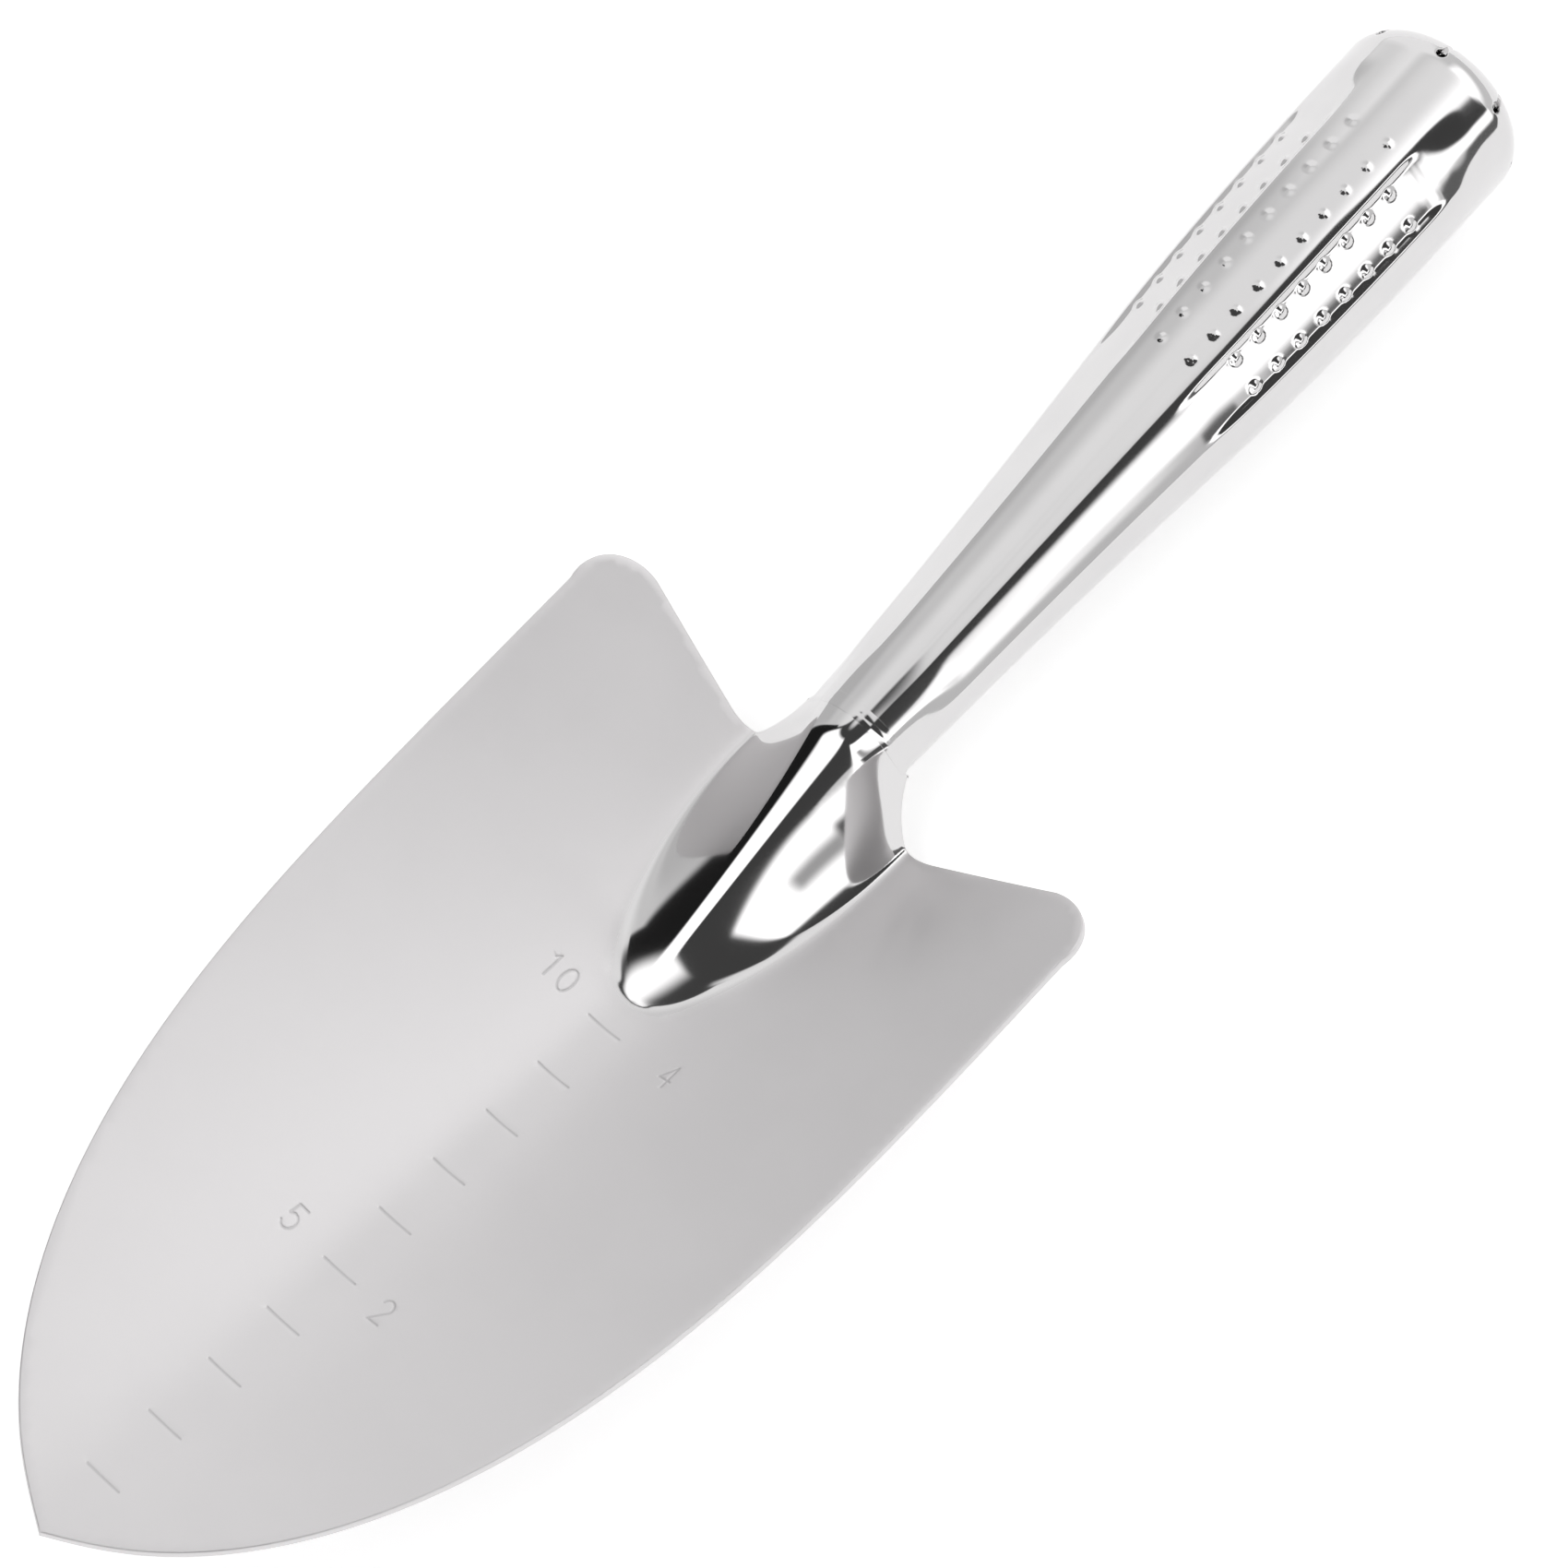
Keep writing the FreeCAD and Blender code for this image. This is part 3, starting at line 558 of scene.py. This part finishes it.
def fill(loop, coarse, fine, engraved):
    """Plan points inside the loop, finer on the ridge and along the engraving, and their triangles."""
    low, high = loop.min(0), loop.max(0)
    plain, ridge = lattice(low, high, coarse), lattice(low, high, fine)
    layers = [(plain[~near_ridge(plain, FINE_REACH)], coarse), (ridge[near_ridge(ridge, FINE_REACH)], fine)]
    if engraved:
        marks = lattice(*MARK_BOX, MARK_SPACING)
        layers = [(p[stroke_reach(*p.T) > 2.0 * GROOVE_HALF], gap) for p, gap in layers]
        layers.append((marks[stroke_reach(*marks.T) < 1.6 * GROOVE_HALF], MARK_SPACING))
    kept = [loop]
    for points, gap in layers:
        within, near = inside(points, loop)
        kept.append(points[within & (near > 0.6 * gap)])
    points = np.concatenate(kept)
    ring = [(k, (k + 1) % len(loop)) for k in range(len(loop))]
    found = delaunay_2d_cdt([Vector(p) for p in points], ring, [], 1, 1e-7)
    return np.array([tuple(v) for v in found[0]]), np.array([tuple(f) for f in found[2]])


def pressing_normal(x, y):
    """Unit normals of the hollow face, from its slopes."""
    small = 0.02
    slope_x = (pressing(x + small, y) - pressing(x - small, y)) / (2.0 * small)
    slope_y = (pressing(x, y + small) - pressing(x, y - small)) / (2.0 * small)
    normal = np.stack([-slope_x, -slope_y, np.ones(slope_x.shape)], -1)
    return normal / np.linalg.norm(normal, axis=-1, keepdims=True)


def make_blade(material):
    """The pressed blade: dish, ridge and collar in one sheet, with its depth scale engraved."""
    loop = blade_outline()
    tangent = np.roll(loop, -1, axis=0) - np.roll(loop, 1, axis=0)
    inward = np.stack([-tangent[:, 1], tangent[:, 0]], 1)
    inward /= np.linalg.norm(inward, axis=1, keepdims=True)
    inset = loop + inward * EDGE
    count = len(loop)
    top_flat, top_faces = fill(inset, TOP_COARSE, TOP_FINE, True)
    low_flat, low_faces = fill(inset, LOW_COARSE, LOW_FINE, False)
    x, y = top_flat.T
    mark = engraving(x, y)
    top = np.stack([x, y, pressing(x, y) - GROOVE_DEPTH * mark], 1)
    x, y = low_flat.T
    low = np.stack([x, y, pressing(x, y)], 1) - GAUGE * pressing_normal(x, y)
    ring = np.append(np.arange(count), 0)
    out = np.stack([*loop.T, pressing(*loop.T)], 1) - top[:count]
    out -= (out * pressing_normal(*inset.T)).sum(1, keepdims=True) * pressing_normal(*inset.T)
    out /= np.linalg.norm(out, axis=1, keepdims=True)
    base = len(top) + len(low)
    more, sides = edge_rings(top[ring], low[ring], out[ring], EDGE, ring, ring + len(top), base)
    faces = top_faces.tolist() + (low_faces[:, ::-1] + len(top)).tolist() + sides.tolist()
    points = np.concatenate([top, low, more])
    polish = ridge_share(points[:, 0], points[:, 1])
    mark = np.concatenate([mark, np.zeros(len(low) + len(more))])
    marks = {"polish": polish, "scale": mark}
    return new_piece("blade_skin", points, faces, material, ("blade_pressing",), marks)


# ------------------------------------------------------------------ handle pieces


def slit_offset(along, half_width):
    """How far each edge of a slit, with the round hole at its root, stands from the slit's line."""
    hole = np.sqrt(np.maximum(RELIEF_RADIUS ** 2 - (along - SLIT_ROOT) ** 2, 0.0))
    slit = np.where(along > SLIT_ROOT, half_width, 0.0)
    return np.maximum(hole, slit)


def tube_rows():
    """Places along the tube's wall: close together at the grip's bumps and at the slits' round roots."""
    body = np.append([TUBE_START, TUBE_START + 0.05], np.arange(TUBE_START + 0.8, PANEL_FROM - 3.0, 1.3))
    grip = np.arange(PANEL_FROM - 3.0, PANEL_TO + 3.0, GRIP_SPACING)
    shank = np.arange(PANEL_TO + 3.0, DOME_START - 0.4, 0.6)
    round_hole = SLIT_ROOT + RELIEF_RADIUS * np.sin(np.radians(np.arange(-90.0, 51.0, 10.0)))
    hole = np.interp(round_hole, *dome_places())
    rim = np.arange(hole[-1] + 0.4, RUN_END, 0.4)
    before = np.arange(DOME_START, hole[0] - 0.2, 0.35)
    return np.concatenate([body, grip, shank, before, hole, rim, [RUN_END]])


def dome_places():
    """Tables of how far along the axis a place on the dome's wall is, and that place."""
    places = np.linspace(DOME_START - 1.0, RUN_END, 400)
    return profile(places)[0], places


def make_tube(material):
    """The tube: one rolled strip, open down the back for its seam, with its rim slit and turned in."""
    places = tube_rows()
    along, size = profile(places)
    points, faces, base = [], [], 0
    fine = 45.0 / round(math.radians(45.0) * 14.0 / GRIP_SPACING)
    side_columns = np.append(np.arange(45.0, 68.0, fine), np.linspace(69.0, 90.0, 9))
    columns = {0: np.arange(0.0, 45.1, fine), 1: side_columns}
    for k in range(PETALS // 2):
        for side in (1.0, -1.0):
            angles = columns.get(k, np.linspace(45.0 * k, 45.0 * (k + 1), 13))
            share = (angles - 45.0 * k) / 45.0
            seam = k == PETALS // 2 - 1
            first = slit_offset(along, 0.5 * SLIT_WIDTH)
            last = np.full(along.shape, 0.5 * SEAM_WIDTH) if seam else first
            low = np.degrees(first / size)[:, None]
            high = np.degrees(last / size)[:, None]
            turn = side * (45.0 * k + low + share * (45.0 - low - high))
            outer = tube_wall(places[:, None], turn)
            plain = on_axis(along[:, None], facets(along[:, None], turn, size[:, None]), turn)
            normal = grid_normals(plain) * side
            inner = plain - normal * GAUGE
            rows, count = turn.shape
            number = base + np.arange(rows * count).reshape(rows, count)
            inner_base = base + rows * count
            points += [outer.reshape(-1, 3), inner.reshape(-1, 3)]
            faces += [quads(rows, count, base), quads(rows, count, inner_base)[:, ::-1]]
            base += 2 * rows * count
            slit = np.flatnonzero(first > 0.0)[0] - 1
            borders = [number[0], number[-1], number[slit:, 0], number[0 if seam else slit :, -1]]
            for which, border in enumerate(borders):
                i, j = np.divmod(border - number[0, 0], count)
                top, under = outer[i, j], inner[i, j]
                out = np.gradient(outer, axis=which // 2)[i, j] * (1.0 if which % 2 else -1.0)
                out = out / np.linalg.norm(out, axis=1, keepdims=True)
                edge = TUBE_EDGE if which != 0 else 0.0
                more, sides = edge_rings(top, under, out, edge, border, border + rows * count, base)
                points.append(more)
                faces.append(sides)
                base += len(more)
    points, faces = np.concatenate(points), [f.tolist() for f in np.concatenate(faces)]
    return new_piece("handle_skin", points, faces, material, ("handle_tube",))


# ------------------------------------------------------------------ welds and backing plate


def make_neck_weld(material):
    """The weld that joins the collar to the tube, ground almost flush."""
    start, end = COLLAR_END - NECK_LAP, TUBE_START + NECK_LAP
    along = np.concatenate([[start], np.linspace(start + 0.02, end - 0.02, 13), [end]])[:, None]
    angle = np.linspace(-NECK_SPREAD, NECK_SPREAD, 141)[None, :]
    share = step(along, COLLAR_END, TUBE_START)
    front = collar_radius(np.minimum(along, COLLAR_END), angle)
    rear = facets(along, angle, through(TUBE, along)) + fairing(along, angle)
    middle, half = 0.5 * (start + end), 0.5 * (end - start)
    crown = NECK_FLUSH * (1.3 - ((along - middle) / half) ** 2)
    outer = on_axis(along, front + (rear - front) * share + crown, angle)
    points, faces = sheet_piece(outer, GAUGE, WELD_EDGE)
    return new_piece("neck_weld_bead", points, faces, material, ("neck_weld",))


def make_seam_weld(material):
    """The weld down the back of the tube, dressed smooth but still faintly rippled."""
    along = np.arange(TUBE_START, SEAM_END + 0.01, BEAD_SPACING)[:, None]
    half = 0.5 * SEAM_WIDTH + SEAM_LAP
    across = np.linspace(-1.0, 1.0, 13)[None, :] * half
    size = through(TUBE, along)
    angle = 180.0 + np.degrees(across / size)
    fall = 1.0 - (across / half) ** 2
    phase = (along - RIPPLE_BOW * across ** 2) / RIPPLE_PITCH
    ripple = RIPPLE_HEIGHT * np.abs(np.sin(math.pi * phase))
    quiet = 1.0 - step(along, *SEAM_DRESSED)
    height = fall * (WELD_SUNK + (SEAM_CROWN + ripple) * quiet) - WELD_SUNK
    outer = on_axis(along, size + height, angle)
    points, faces = sheet_piece(outer, GAUGE, WELD_EDGE)
    return new_piece("seam_weld_bead", points, faces, material, ("tube_seam_weld",))


def plate_grid():
    """Upper face of the backing plate: flat below, flanged against the blade and curved into the bore."""
    clear = GAUGE + LAP_GAP
    y = np.linspace(PLATE_FRONT, AXIS_Y + PLATE_TAIL * math.cos(AXIS_RISE), 140)[:, None]
    along = (y - AXIS_Y) / math.cos(AXIS_RISE)
    bore = through(TUBE, np.maximum(along, 0.0)) - clear - PLATE_PLAY
    axis = AXIS_Z + (y - AXIS_Y) * math.tan(AXIS_RISE)
    half = PLATE_HALF + (PLATE_WAIST - PLATE_HALF) * step(y, PLATE_NARROWS, PLATE_NARROW)
    nose = np.minimum((y - PLATE_FRONT) / PLATE_NOSE, 1.0)
    half = half * np.sqrt(1.0 - (1.0 - nose) ** 2 * PLATE_NOSE_CUT)
    share = step(y, PLATE_LIFTS, PLATE_LIFTED)
    turn = np.linspace(-1.0, 1.0, 81)[None, :]
    x = turn * half
    flat = 1.0 - step(np.abs(x), PLATE_FLAT, PLATE_FLANGE)
    z = dish(x, y) + (dish(0.0 * x, y) - dish(x, y)) * flat - clear
    arc = np.radians(180.0 - PLATE_WRAP * turn)
    in_x, in_z = bore * np.sin(arc), axis + bore * np.cos(arc)
    return np.stack(np.broadcast_arrays(x + (in_x - x) * share, y, z + (in_z - z) * share), -1)


def nugget_reach(x, y):
    """Distance in plan from the nearest spot weld."""
    rows = NUGGET_Y + NUGGET_PITCH * np.arange(NUGGET_ROWS)
    return np.min([np.hypot(np.abs(x) - NUGGET_X, y - row) for row in rows], axis=0)


def make_plate(material):
    """The backing plate, with the dimples that the spot-welding tips leave in its lower face."""
    outer = plate_grid()
    points, faces = sheet_piece(outer, PLATE_GAUGE, PLATE_EDGE)
    count = outer.shape[0] * outer.shape[1]
    reach = nugget_reach(points[:, 0], points[:, 1])
    lower = np.zeros(len(points))
    lower[count : 2 * count] = 1.0
    dimple = (1.0 - step(reach, DIMPLE_FROM * NUGGET_RADIUS, DIMPLE_TO * NUGGET_RADIUS)) * lower
    points[:, 2] += DIMPLE * dimple
    heat = np.exp(-((reach / (HEAT_REACH * NUGGET_RADIUS)) ** 2)) * lower
    marks = {"heat": heat}
    return new_piece("backing_plate", points, faces, material, ("ridge_backing_plate",), marks)


# ------------------------------------------------------------------ materials


def nodes_of(name):
    """A new material, its tree and its shader."""
    material = bpy.data.materials.new(name)
    material.use_nodes = True
    tree = material.node_tree
    return material, tree, tree.nodes["Principled BSDF"]


def add(tree, kind, inputs=None, **settings):
    """A shader node with its settings and its unlinked inputs filled in, or linked where given a socket."""
    node = tree.nodes.new(kind)
    for key, value in settings.items():
        setattr(node, key, value)
    for key, value in (inputs or {}).items():
        if isinstance(value, bpy.types.NodeSocket):
            tree.links.new(value, node.inputs[key])
        else:
            node.inputs[key].default_value = value
    return node


def remap(tree, value, low, high, smooth=False, start=0.0, end=1.0):
    """A value carried from start..end to low..high, and held beyond them."""
    kind = "SMOOTHSTEP" if smooth else "LINEAR"
    node = add(
        tree,
        "ShaderNodeMapRange",
        {"Value": value, "From Min": start, "From Max": end, "To Min": low, "To Max": high},
        interpolation_type=kind,
    )
    return node.outputs["Result"]


def noise(tree, scale, detail=2.0, stretch=(1.0, 1.0, 1.0)):
    """Fine variation over the object; the scale is in cells per metre."""
    place = add(tree, "ShaderNodeTexCoord").outputs["Object"]
    sized = add(tree, "ShaderNodeMapping", {"Vector": place, "Scale": stretch}).outputs["Vector"]
    node = add(tree, "ShaderNodeTexNoise", {"Vector": sized, "Scale": scale, "Detail": detail})
    return node.outputs["Fac"]


def blend_colors(tree, share, one, two):
    """A colour between two others by a share."""
    node = add(tree, "ShaderNodeMix", data_type="RGBA")
    tree.links.new(share, node.inputs["Factor"])
    for socket, value in ((node.inputs[6], one), (node.inputs[7], two)):
        if isinstance(value, bpy.types.NodeSocket):
            tree.links.new(value, socket)
        else:
            socket.default_value = (*value, 1.0)
    return node.outputs[2]


def math_node(tree, operation, a, b=0.0):
    """The result of a sum on two sockets or numbers."""
    node = add(tree, "ShaderNodeMath", operation=operation)
    for socket, value in zip(node.inputs, (a, b)):
        if isinstance(value, bpy.types.NodeSocket):
            tree.links.new(value, socket)
        else:
            socket.default_value = value
    return node.outputs[0]


SATIN, SATIN_DEEP, MARK = (0.69, 0.676, 0.682), (0.675, 0.661, 0.667), (0.56, 0.55, 0.555)
POLISHED, POLISHED_DEEP = (0.67, 0.662, 0.664), (0.645, 0.637, 0.64)


def blade_steel():
    """Satin stainless steel on the dish, polished on the ridge and collar, a shade darker in the scale."""
    material, tree, shader = nodes_of("satin_and_polished_steel")
    shader.inputs["Metallic"].default_value = 1.0
    polish = add(tree, "ShaderNodeAttribute", attribute_name="polish").outputs["Fac"]
    mark = add(tree, "ShaderNodeAttribute", attribute_name="scale").outputs["Fac"]
    cloud = noise(tree, 60.0, 3.0)
    grain = noise(tree, 4000.0, 3.0)
    satin = blend_colors(tree, remap(tree, cloud, 0.0, 1.0, True, 0.35, 0.65), SATIN_DEEP, SATIN)
    color = blend_colors(tree, polish, satin, POLISHED)
    tree.links.new(blend_colors(tree, mark, color, MARK), shader.inputs["Base Color"])
    soft = math_node(tree, "ADD", remap(tree, cloud, 0.40, 0.46), remap(tree, grain, -0.05, 0.05))
    rough = add(tree, "ShaderNodeMix", {"Factor": polish, "A": soft, "B": remap(tree, cloud, 0.05, 0.09)})
    tree.links.new(rough.outputs["Result"], shader.inputs["Roughness"])
    strength = remap(tree, polish, 0.10, 0.0)
    bump = add(tree, "ShaderNodeBump", {"Strength": strength, "Distance": 0.00004, "Height": grain})
    tree.links.new(bump.outputs["Normal"], shader.inputs["Normal"])
    return material


def polished_steel():
    """Mirror-polished stainless steel with the faint haze and ripple of a buffing wheel."""
    material, tree, shader = nodes_of("polished_steel")
    shader.inputs["Metallic"].default_value = 1.0
    cloud = noise(tree, 55.0, 3.0)
    hair = noise(tree, 900.0, 3.0, (1.0, 0.06, 1.0))
    color = blend_colors(tree, remap(tree, cloud, 0.0, 1.0, True, 0.3, 0.7), POLISHED_DEEP, POLISHED)
    tree.links.new(color, shader.inputs["Base Color"])
    rough = math_node(tree, "ADD", remap(tree, cloud, 0.045, 0.085), remap(tree, hair, -0.015, 0.03))
    tree.links.new(rough, shader.inputs["Roughness"])
    bump = add(tree, "ShaderNodeBump", {"Strength": 0.05, "Distance": 0.00003, "Height": hair})
    tree.links.new(bump.outputs["Normal"], shader.inputs["Normal"])
    return material


def ground_weld():
    """Weld metal dressed with a fine wheel: brushed along the bead and a shade darker than the sheet."""
    material, tree, shader = nodes_of("ground_weld")
    shader.inputs["Metallic"].default_value = 1.0
    brushed = noise(tree, 3000.0, 3.0, (1.0, 0.08, 1.0))
    color = blend_colors(tree, brushed, (0.66, 0.65, 0.64), (0.80, 0.79, 0.78))
    tree.links.new(color, shader.inputs["Base Color"])
    tree.links.new(remap(tree, brushed, 0.14, 0.30), shader.inputs["Roughness"])
    bump = add(tree, "ShaderNodeBump", {"Strength": 0.25, "Distance": 0.00003, "Height": brushed})
    tree.links.new(bump.outputs["Normal"], shader.inputs["Normal"])
    return material


def plain_steel():
    """Mill-finish sheet with rolling grain, tinted straw and blue round the spot welds."""
    material, tree, shader = nodes_of("plain_steel")
    shader.inputs["Metallic"].default_value = 1.0
    rolled = noise(tree, 2200.0, 4.0, (1.0, 0.05, 1.0))
    heat = add(tree, "ShaderNodeAttribute", attribute_name="heat").outputs["Fac"]
    steel = blend_colors(tree, rolled, (0.56, 0.555, 0.55), (0.68, 0.67, 0.665))
    tint = add(tree, "ShaderNodeValToRGB", {"Fac": heat})
    straw, blue = (0.66, 0.55, 0.36), (0.42, 0.36, 0.46)
    stops = ((0.0, (0.66, 0.65, 0.64)), (0.35, straw), (0.6, blue), (0.85, (0.35, 0.35, 0.36)))
    ramp = tint.color_ramp
    while len(ramp.elements) < len(stops):
        ramp.elements.new(0.5)
    for element, (place, shade) in zip(ramp.elements, stops):
        element.position = place
        element.color = (*shade, 1.0)
    share = remap(tree, heat, 0.0, 0.85, True, 0.05, 0.5)
    tree.links.new(blend_colors(tree, share, steel, tint.outputs["Color"]), shader.inputs["Base Color"])
    tree.links.new(remap(tree, rolled, 0.26, 0.40), shader.inputs["Roughness"])
    bump = add(tree, "ShaderNodeBump", {"Strength": 0.2, "Distance": 0.00003, "Height": rolled})
    tree.links.new(bump.outputs["Normal"], shader.inputs["Normal"])
    return material


def heated_steel():
    """Weld nuggets between the sheets: dull and mottled grey."""
    material, tree, shader = nodes_of("weld_nugget")
    shader.inputs["Metallic"].default_value = 1.0
    mottle = noise(tree, 1500.0, 4.0)
    color = blend_colors(tree, mottle, (0.30, 0.29, 0.31), (0.52, 0.50, 0.48))
    tree.links.new(color, shader.inputs["Base Color"])
    tree.links.new(remap(tree, mottle, 0.4, 0.6), shader.inputs["Roughness"])
    return material


# ------------------------------------------------------------------ studio


def wrapped(tree, angle, middle):
    """Unsigned difference of an angle from a middle, in degrees."""
    away = math_node(tree, "SUBTRACT", angle, middle)
    turned = add(tree, "ShaderNodeMath", operation="WRAP")
    tree.links.new(away, turned.inputs[0])
    turned.inputs[1].default_value = 180.0
    turned.inputs[2].default_value = -180.0
    return math_node(tree, "ABSOLUTE", turned.outputs[0])


# what stands round the tool, by its direction from it in the blade's frame: degrees round from the
# handle's side towards the right (middle, half-width and lean, degrees round per degree up), degrees up
# (from, to), softness of the edges in degrees, and brightness
SURROUNDINGS = (
    ("floor side", (0.0, 180.0, 0.0), (-95.0, -2.0), 2.0, 0.58),
    ("overhead light", (0.0, 180.0, 0.0), (62.0, 95.0), 12.0, 0.82),
    ("left wall", (-80.0, 19.0, 0.0), (-4.0, 36.0), 7.0, 0.50),
    ("camera and its stand", (170.0, 78.0, 0.0), (16.0, 84.0), 3.0, 0.05),
    ("gap in the left wall", (-108.0, 11.5, -0.16), (-12.0, 62.0), 1.5, 0.012),
    ("back light", (201.0, 38.0, 0.0), (36.0, 69.0), 4.0, 1.3),
    ("dark strip on the left", (-70.0, 22.0, 0.0), (-17.0, -9.0), 3.0, 0.20),
    ("soft light behind", (33.0, 32.0, 0.0), (34.0, 66.0), 8.0, 1.3),
    ("soft light behind on the left", (-43.0, 22.0, 0.0), (4.0, 54.0), 6.0, 0.88),
    ("gap on the right", (77.0, 17.0, 0.0), (26.5, 62.0), 1.5, 0.05),
    ("right light", (88.5, 15.0, 0.42), (-5.0, 57.0), 1.8, 1.5),
    ("wedge in the right light", (87.8, 4.0, 0.475), (14.0, 37.0), 3.0, 0.36),
    ("spot in the right light", (87.8, 7.0, 0.475), (2.0, 15.0), 2.0, 0.08),
    ("ledge", (60.0, 24.0, 0.0), (-30.0, 13.0), 1.5, 0.55),
    ("lip of the ledge", (60.0, 14.0, 0.0), (3.0, 14.5), 1.2, 0.12),
    ("light over the ledge", (69.0, 13.0, 0.0), (16.0, 26.0), 1.5, 1.35),
)
AMBIENT, STUDIO_STRENGTH = 0.62, 1.28


def make_surroundings():
    """The world: soft lights and dark gaps laid over each other, the later rows on top."""
    world = bpy.data.worlds.new("studio")
    bpy.context.scene.world = world
    world.use_nodes = True
    tree = world.node_tree
    back = tree.nodes["Background"]
    place = add(tree, "ShaderNodeTexCoord").outputs["Generated"]
    untilt = {"Vector": place, "Angle": REST_TILT}
    turned = add(tree, "ShaderNodeVectorRotate", untilt, rotation_type="X_AXIS")
    parts = add(tree, "ShaderNodeSeparateXYZ", {"Vector": turned.outputs["Vector"]}).outputs
    az = math_node(tree, "MULTIPLY", math_node(tree, "ARCTAN2", parts["X"], parts["Y"]), 180.0 / math.pi)
    el = math_node(tree, "MULTIPLY", math_node(tree, "ARCSINE", parts["Z"]), 180.0 / math.pi)
    level = AMBIENT
    for title, (middle, half, lean), (el_low, el_high), soft, bright in SURROUNDINGS:
        mask = remap(tree, el, 0.0, 1.0, True, el_low - soft, el_low + soft)
        below = remap(tree, el, 1.0, 0.0, True, el_high - soft, el_high + soft)
        mask = math_node(tree, "MULTIPLY", mask, below)
        if half < 180.0:
            leaning = add(tree, "ShaderNodeMath", {0: el, 1: lean, 2: middle}, operation="MULTIPLY_ADD")
            away = wrapped(tree, az, leaning.outputs[0])
            beside = remap(tree, away, 1.0, 0.0, True, half - soft, half + soft)
            mask = math_node(tree, "MULTIPLY", mask, beside)
        mixed = add(tree, "ShaderNodeMix", {"Factor": mask, "A": level, "B": bright}, label=title)
        level = mixed.outputs["Result"]
    tree.links.new(level, back.inputs["Color"])
    back.inputs["Strength"].default_value = STUDIO_STRENGTH


def make_floor():
    """The plain pale floor, faintly lit from within so that it stays white up to the tool."""
    mesh = bpy.data.meshes.new("floor")
    corners = [(FLOOR_REACH * x, FLOOR_REACH * y, 0.0) for x, y in ((-1, -1), (1, -1), (1, 1), (-1, 1))]
    mesh.from_pydata(corners, [], [(0, 1, 2, 3)])
    floor = bpy.data.objects.new("floor", mesh)
    bpy.context.scene.collection.objects.link(floor)
    material, tree, shader = nodes_of("pale_floor")
    pale = blend_colors(tree, noise(tree, 40.0), (0.90, 0.90, 0.90), (0.93, 0.93, 0.93))
    tree.links.new(pale, shader.inputs["Base Color"])
    shader.inputs["Roughness"].default_value = 0.9
    shader.inputs["Specular IOR Level"].default_value = 0.1
    shader.inputs["Emission Color"].default_value = (1.0, 1.0, 1.0, 1.0)
    shader.inputs["Emission Strength"].default_value = FLOOR_GLOW
    mesh.materials.append(material)


def make_camera():
    """The camera over the tip's right, looking down into the blade and along the handle."""
    flat = math.cos(CAMERA_HEIGHT)
    back = Vector((math.sin(CAMERA_TURN) * flat, -math.cos(CAMERA_TURN) * flat, math.sin(CAMERA_HEIGHT)))
    right = Vector((0.0, 0.0, 1.0)).cross(back).normalized()
    up = back.cross(right)
    rolled_right = right * math.cos(CAMERA_ROLL) + up * math.sin(CAMERA_ROLL)
    rolled_up = up * math.cos(CAMERA_ROLL) - right * math.sin(CAMERA_ROLL)
    turn = Matrix((rolled_right, rolled_up, back)).transposed().to_4x4()
    camera = bpy.data.objects.new("camera", bpy.data.cameras.new("camera"))
    camera.data.lens = CAMERA_LENS
    camera.data.sensor_width = CAMERA_SENSOR
    camera.data.clip_start = CAMERA_NEAR
    camera.matrix_world = LIE @ Matrix.Translation(CAMERA_PLACE) @ turn
    bpy.context.scene.collection.objects.link(camera)
    bpy.context.scene.camera = camera


# ------------------------------------------------------------------ the tool in its studio

make_camera()
make_floor()
make_surroundings()
bpy.context.scene.view_settings.view_transform = "Standard"

make_blade(blade_steel())
polish = polished_steel()
make_tube(polish)
weld = ground_weld()
make_neck_weld(polish)
make_seam_weld(weld)
make_plate(plain_steel())
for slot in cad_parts["backing_plate_spot_welds"].material_slots:
    slot.material = heated_steel()
